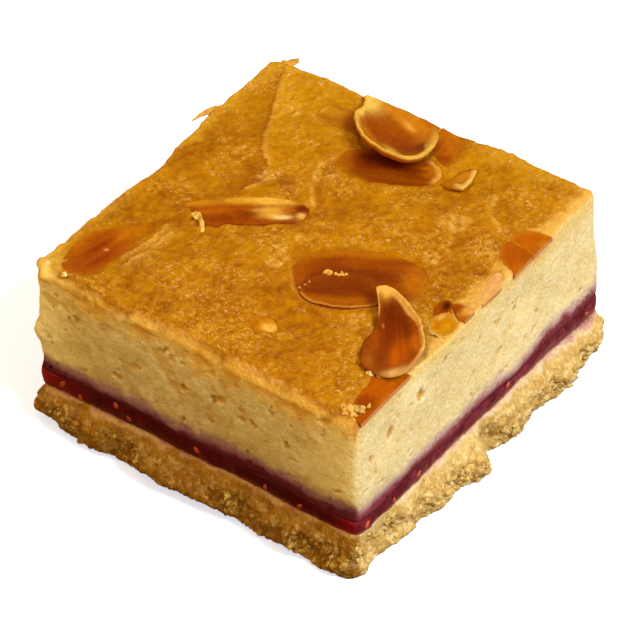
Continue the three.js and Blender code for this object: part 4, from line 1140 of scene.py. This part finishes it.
def makeCrumbs(basePoints, baseOuts, baseStrength, baseColour):
    draw = np.random.default_rng(31)
    pile = Pile()
    spots = []
    for cluster in baseClusters:
        chance = nearCluster(basePoints, baseOuts, cluster)
        for site in draw.choice(len(chance), cluster["count"], replace=False, p=chance / chance.sum()):
            spots.append((site, 0.7 * cluster["size"] * (0.3 + 0.7 * draw.random() ** 2)))
    sites = np.where((baseStrength > 0.4) & (basePoints[:, 2] > 0.7))[0]
    spots += [(site, 0.2 + 0.4 * draw.random() ** 2.5) for site in draw.choice(sites, 110, replace=False)]
    for site, size in spots:
        shape = crumbShape(draw, size, (0.8, 81), 0.65)
        at = basePoints[site] - baseOuts[site] * size * draw.uniform(0.35, 0.85)
        at[2] = max(at[2], -shape[:, 2].min())    # none goes through the floor
        pale = between(*baseLook["crumb"], 1 - smooth(31, 33, at[0]))
        tint = (baseColour[site] * 0.5 + pale * 0.5) * draw.uniform(0.8, 1.15)
        pile.add(at + shape, lump[1], np.minimum(tint, 0.85))
    pile.piece("baseCrumbs", baseMaterial, "shortbread")


makeCrumbs(*makeBase())
print("crumbs ready")


# colours of a flake: centre to body, spots, growth lines, the pale rim, and where it melts into the crust
def flakePaint(shape, u, v, reach, under):
    angle = np.arctan2(v, u)
    p = np.column_stack([u * shape["size"][0] / 2, v * shape["size"][1] / 2, np.full(len(u), shape["at"][0])])
    streak = cloud(p * [0.18, 1.0, 1.0], 0.9, 91)
    cloudy = cloud(p, 3.2, 92)
    lines = cloud(p * [0.1, 1.6, 1.0], 0.7, 93)
    colour = between(shape["centre"], shape["body"], smooth(0.3, 0.9, reach + 0.25 * cloudy))
    for atU, atV, longU, longV, shade, amount in shape["spots"]:
        spot = bell(u + 0.04 * streak, atU, longU) * bell(v, atV, longV)
        colour = dye(colour, shade, amount * smooth(0.02, 0.9, spot * (1 + 0.3 * cloudy + 0.25 * streak)))
    colour = colour * (1 + 0.10 * streak + 0.08 * cloudy + shape.get("lines", 0.08) * lines)[:, None]
    rimAt = np.full(len(u), shape["rimAt"])
    if "rimWide" in shape:
        middle, spread, extra = shape["rimWide"]
        rimAt -= extra * bell(turnFrom(angle, middle), 0, spread)
    ragged = reach + shape.get("rimRough", 0.02) * (cloudy + 0.5 * streak)
    rim = smooth(rimAt - 0.03, np.minimum(rimAt + 0.06, 0.99), ragged)
    if "rimArc" in shape:
        middle, spread = shape["rimArc"]
        rim = rim * smooth(1.25, 0.75, abs(turnFrom(angle, middle)) / spread + 0.2 * cloudy)
    colour = dye(colour, shape["rim"], rim * (0.85 + 0.15 * streak))
    if "melt" in shape:
        middle, spread = shape["melt"]
        soft = smooth(1.3, 0.7, abs(turnFrom(angle, middle)) / spread + 0.2 * cloudy)
        soft = soft * smooth(0.66, 1.0, reach + 0.1 * cloudy)
        colour = dye(colour, shape.get("meltTone", (176, 106, 2)), 0.85 * soft)
    return dye(colour, shape["body"], under) * [0.84, 0.84, 0.7]


# cut the flake off flush with the slice, as the knife did, and colour the cut
def trimFlake(piece, cutTone=(206, 136, 88)):
    mesh = bmesh.new()
    mesh.from_mesh(piece.data)
    bmesh.ops.scale(mesh, vec=(1 / mm,) * 3, verts=mesh.verts)
    layer = mesh.verts.layers.float_color["tint"]
    corners = slicePoint(np.array([-1.0, 1, 1, -1]), np.array([-1.0, -1, 1, 1]), spongeTop, 1e3)
    cutFaces = []
    for a, b in zip(corners, np.roll(corners, -1, axis=0)):
        normal = Vector((b[1] - a[1], a[0] - b[0], 0)).normalized()
        parts = mesh.verts[:] + mesh.edges[:] + mesh.faces[:]
        at = Vector((*a, 0)) + normal * 0.3
        cut = bmesh.ops.bisect_plane(mesh, geom=parts, plane_co=at, plane_no=normal, clear_outer=True)
        rim = [e for e in cut["geom_cut"] if isinstance(e, bmesh.types.BMEdge)]
        if rim:
            filled = bmesh.ops.holes_fill(mesh, edges=rim, sides=0)["faces"]
            bmesh.ops.inset_individual(mesh, faces=filled, thickness=0.04, use_even_offset=False)
            cutFaces += filled
    for face in cutFaces:
        for corner in face.verts:
            corner[layer] = (*tone(*cutTone), 1)
    bmesh.ops.scale(mesh, vec=(mm,) * 3, verts=mesh.verts)
    mesh.to_mesh(piece.data)
    mesh.free()


# share of the reach and of the half thickness near the rim, for flakes flush with the crust and for free ones
flakeRims = {True: ((0.94, 1), (0.97, 0.98), (0.99, 0.9), (1.0, 0.6)),
             False: ((0.94, 0.84), (0.97, 0.66), (0.99, 0.4), (1.0, 0.1))}


def makeFlake(name, shape, columns=120):
    rolled, flush = shape.get("rolled", 0), shape.get("flush", False)
    heights = [(r, 1 - 0.1 * r ** 4 * (not flush) + rolled * smooth(0.7, 0.9, r))
               for r in np.linspace(0.05, 0.9, 20)]
    heights += [(r, full * (1 + rolled)) for r, full in flakeRims[flush]]
    rows = len(heights)
    angle = np.linspace(0, 2 * math.pi, columns, endpoint=False)
    half = shape.get("thick", 1.0) / 2
    across, along = shape.get("cup", (0, 0))
    seed = sum(ord(c) for c in name)
    around = np.column_stack([np.cos(angle) * 2, np.sin(angle) * 2, np.full(columns, seed * 0.37)])
    edge = flakeReach(shape, angle) + clouds(around, (0.14, 0.35, 101), (0.08, 0.12, 102))
    turn = math.radians(shape["heading"])
    points, places = [], []
    for side in (1, -1):
        for r, full in heights:
            x, y = r * edge * np.cos(angle), r * edge * np.sin(angle)
            p = np.column_stack([x * math.cos(turn) + y * math.sin(turn),
                                 y * math.cos(turn) - x * math.sin(turn), x * 0])
            u, v = p[:, 0] / (shape["size"][0] / 2), p[:, 1] / (shape["size"][1] / 2)
            ripple = 0.05 * cloud(p * [0.2, 1.0, 1.0] + seed, 1.1, 103) + 0.10 * cloud(p + seed, 3.4, 104)
            p[:, 2] = across * v * v + along * u * u + half * (side * full - 1)
            p[:, 2] += ripple * min(1, 2 * (1 - r))
            p[:, 2] += shape.get("curl", 0) * r ** 2.4 * smooth(36.5, 21, y + shape["at"][1])
            if "rimArc" in shape and side > 0 and not flush:
                middle, spread = shape["rimArc"]
                fromMiddle = abs(turnFrom(np.arctan2(v, u), middle)) / spread
                p[:, 2] += 0.2 * smooth(0.86, 0.93, r) * smooth(1.1, 0.8, fromMiddle)
            if "cover" in shape:
                p[:, 2] -= shape["cover"][1] * smooth(0.3, 1, towardsCover(shape, u, v))
            points.append(p)
            places.append(np.column_stack([u, v, np.full(columns, r), np.full(columns, float(side < 0))]))
    points = np.concatenate(points)
    faces = []
    for i in range(rows - 1):
        faces += ringFaces((i + 1) * columns, i * columns, columns).tolist()
        faces += ringFaces((rows + i) * columns, (rows + i + 1) * columns, columns).tolist()
    faces += ringFaces((2 * rows - 1) * columns, (rows - 1) * columns, columns).tolist()
    faces += [list(range(columns)), list(range((rows + 1) * columns - 1, rows * columns - 1, -1))]
    tilt = Matrix.Rotation(turn, 3, "Z")
    for lean, axis in ((-shape.get("pitch", 0), "Y"), (shape.get("roll", 0), "X")):
        tilt = tilt @ Matrix.Rotation(math.radians(lean), 3, axis)
    points = points @ np.array(tilt).T + [*shape["at"], crustHeight + shape.get("top", -0.05)]
    if flush:
        points[:, 2] += crustTop(points[:, 0], points[:, 1]) - crustHeight
    colour = flakePaint(shape, *np.concatenate(places).T)
    piece = makePiece(name.replace("_", "."), points, faces, almondMaterial, "almond", name, tint=colour)
    if shape.get("edge"):
        trimFlake(piece)


for name, shape in flakes.items():
    makeFlake(name, shape)
print("flakes ready")

# torn crumbs on the crust: middle, length of the row, spread, count, size, rise and shade
tornCrumbs = [
    ((8.4, -7.8), (2.8, 1.7), 0.2, 11, 0.5, 0.3, (216, 164, 70)),
    ((5.6, -12.8), (0.6, 2.8), 0.12, 7, 0.38, 0.2, (206, 142, 60)),
    ((29.8, -33.6), (2.2, 1.4), 0.5, 14, 0.85, 0.2, (222, 170, 76)),
    ((31.3, -32.9), (0.8, 1.6), 0.35, 9, 0.6, 0.5, (230, 184, 96)),
    ((31.2, -10.6), (2.2, 0.8), 0.15, 6, 0.4, 0.3, (214, 164, 74)),
    ((-28.6, -34.6), (0.5, 0.2), 0.15, 4, 0.45, 0.3, (238, 208, 122)),
    ((28.6, -24.8), (3.4, 1.0), 0.1, 7, 0.45, 0.5, (232, 194, 118)),
]
# thin shreds of crust, two of them sticking out from the far edges
shreds = [
    {"root": (-32.8, 34.4, 33.2), "tip": (-31.9, 37.4, 33.3), "wide": (1.3, -0.4, 0.1),
     "bend": (0.6, 0.2, 0.3), "thick": 0.4, "even": 0.1, "ragged": 0.2, "tint": (214, 160, 62)},
    {"root": (-34.4, 17.6, 33.0), "tip": (-37.2, 12.6, 32.6), "wide": (0.6, -1.2, -0.1),
     "bend": (-0.5, 0.6, 0.2), "thick": 0.45, "even": 0.08, "ragged": 0.2, "tint": (216, 164, 70)},
    {"root": (-20.9, -8.8, 33.9), "tip": (-16.6, -11.8, 33.6), "wide": (0.35, 0.5, 0.1),
     "bend": (0.25, 0.4, 0.2), "thick": 0.25, "even": 0.55, "ragged": 0.36, "tint": (220, 176, 76)},
]


def shredSkin(shred, rows=14, columns=20):
    around = np.linspace(0, 2 * math.pi, columns, endpoint=False)[:, None]
    root, tip, wide, bend = (np.array(shred[k]) for k in ("root", "tip", "wide", "bend"))
    rings = []
    for t in np.linspace(0, 1, rows):
        middle = root + (tip - root) * t + bend * math.sin(math.pi * t)
        across = wide * ((1 - t) ** 0.8 * (1 - shred["even"]) + shred["even"])
        ring = middle + np.cos(around) * across + np.sin(around) * [0, 0, shred["thick"] * (1 - 0.6 * t)]
        rings.append(ring + shred["ragged"] * np.stack([cloud(ring, 0.7, seed) for seed in (83, 84, 85)], 1))
    return np.concatenate(rings), stackFaces(rows, columns)


def makeTorn():
    draw = np.random.default_rng(47)
    pile = Pile()
    for at, along, spread, count, size, rise, shade in tornCrumbs:
        for i in range(count):
            own = size * draw.uniform(0.6, 1.15)
            shape = crumbShape(draw, own, (0.9, 82), 0.4)
            x, y = np.array(at) + (draw.random() - 0.5) * np.array(along) + draw.normal(size=2) * spread
            z = crustTop(x, y) + rise * draw.random() + own * draw.uniform(-0.4, 0.1)
            tint = tone(*shade) * draw.uniform(0.7, 1.15)
            pile.add(np.array([x, y, z]) + shape, lump[1], np.clip(tint, 0, 1))
    for shred in shreds:
        points, faces = shredSkin(shred)
        pale = smooth(-0.6, 0.8, cloud(points, 0.9, 86))
        pile.add(points, faces, blend(tone(*shred["tint"]) * 0.75, tone(*shred["tint"]) * 1.1, pale))
    pile.piece("tornCrumbs", crumbMaterial, "sponge")


makeTorn()
print("torn crumbs ready")

# floor, light and camera
studio = {
    "floor": {"Base Color": (0.95, 0.95, 0.95, 1), "Roughness": 0.9, "Specular IOR Level": 0,
              "Emission Color": (0.62, 0.78, 1, 1), "Emission Strength": 0.62},
    "room": ((0.4, (0.20, 0.13, 0.05, 1)), (0.7, (0.80, 0.58, 0.30, 1))),    # warm, brighter above than below
    "lights": (("window", (0.72, 0.06, 0.69), 3.9, 24, (0.66, 0.79, 1.0)),
               ("fill", (-0.25, -0.9, 0.35), 0.8, 40, (1.0, 0.66, 0.26))),
    "aim": (1.75, -3.09, 16.82), "azimuth": 35.57, "elevation": 41.13, "distance": 0.6893, "lens": 225,
}
floorMesh = bpy.data.meshes.new("floor")
floorMesh.from_pydata([(-3, -3, 0), (3, -3, 0), (3, 3, 0), (-3, 3, 0)], [], [(0, 1, 2, 3)])
floor = bpy.data.objects.new("floor", floorMesh)
scene.collection.objects.link(floor)
floorMaterial = bpy.data.materials.new("pale floor")
floorMaterial.use_nodes = True
for key, value in studio["floor"].items():
    floorMaterial.node_tree.nodes["Principled BSDF"].inputs[key].default_value = value
floorMesh.materials.append(floorMaterial)
floor.visible_diffuse = floor.visible_glossy = False    # no white glow on the base and the jam

world = bpy.data.worlds.new("studio")
scene.world = world
world.use_nodes = True
sky, skyLinks = world.node_tree.nodes, world.node_tree.links
skyPlace = sky.new("ShaderNodeTexCoord")
skyHeight = sky.new("ShaderNodeSeparateXYZ")
skyRange = sky.new("ShaderNodeMapRange")
skyRange.inputs["From Min"].default_value = -1
skyShade = sky.new("ShaderNodeValToRGB")
for element, (at, shade) in zip(skyShade.color_ramp.elements, studio["room"]):
    element.position, element.color = at, shade
skyLinks.new(skyPlace.outputs["Generated"], skyHeight.inputs["Vector"])
skyLinks.new(skyHeight.outputs["Z"], skyRange.inputs["Value"])
skyLinks.new(skyRange.outputs["Result"], skyShade.inputs["Fac"])
skyLinks.new(skyShade.outputs["Color"], sky["Background"].inputs["Color"])
sky["Background"].inputs["Strength"].default_value = 1.0

for name, towards, power, spread, colour in studio["lights"]:
    lamp = bpy.data.lights.new(name, "SUN")
    lamp.energy, lamp.angle, lamp.color = power, math.radians(spread), colour
    light = bpy.data.objects.new(name, lamp)
    light.rotation_euler = (-Vector(towards)).to_track_quat("-Z", "Y").to_euler()
    scene.collection.objects.link(light)

camera = bpy.data.objects.new("camera", bpy.data.cameras.new("camera"))
camera.data.sensor_width, camera.data.lens = 36, studio["lens"]
camera.data.clip_start, camera.data.clip_end = 0.01, 20
azimuth, elevation = math.radians(studio["azimuth"]), math.radians(studio["elevation"])
back = Vector((math.sin(azimuth) * math.cos(elevation), -math.cos(azimuth) * math.cos(elevation),
               math.sin(elevation)))
camera.location = Vector(studio["aim"]) * mm + back * studio["distance"]
camera.rotation_euler = (-back).to_track_quat("-Z", "Y").to_euler()
scene.collection.objects.link(camera)
scene.camera = camera
scene.view_settings.view_transform = "Standard"
print("studio ready")
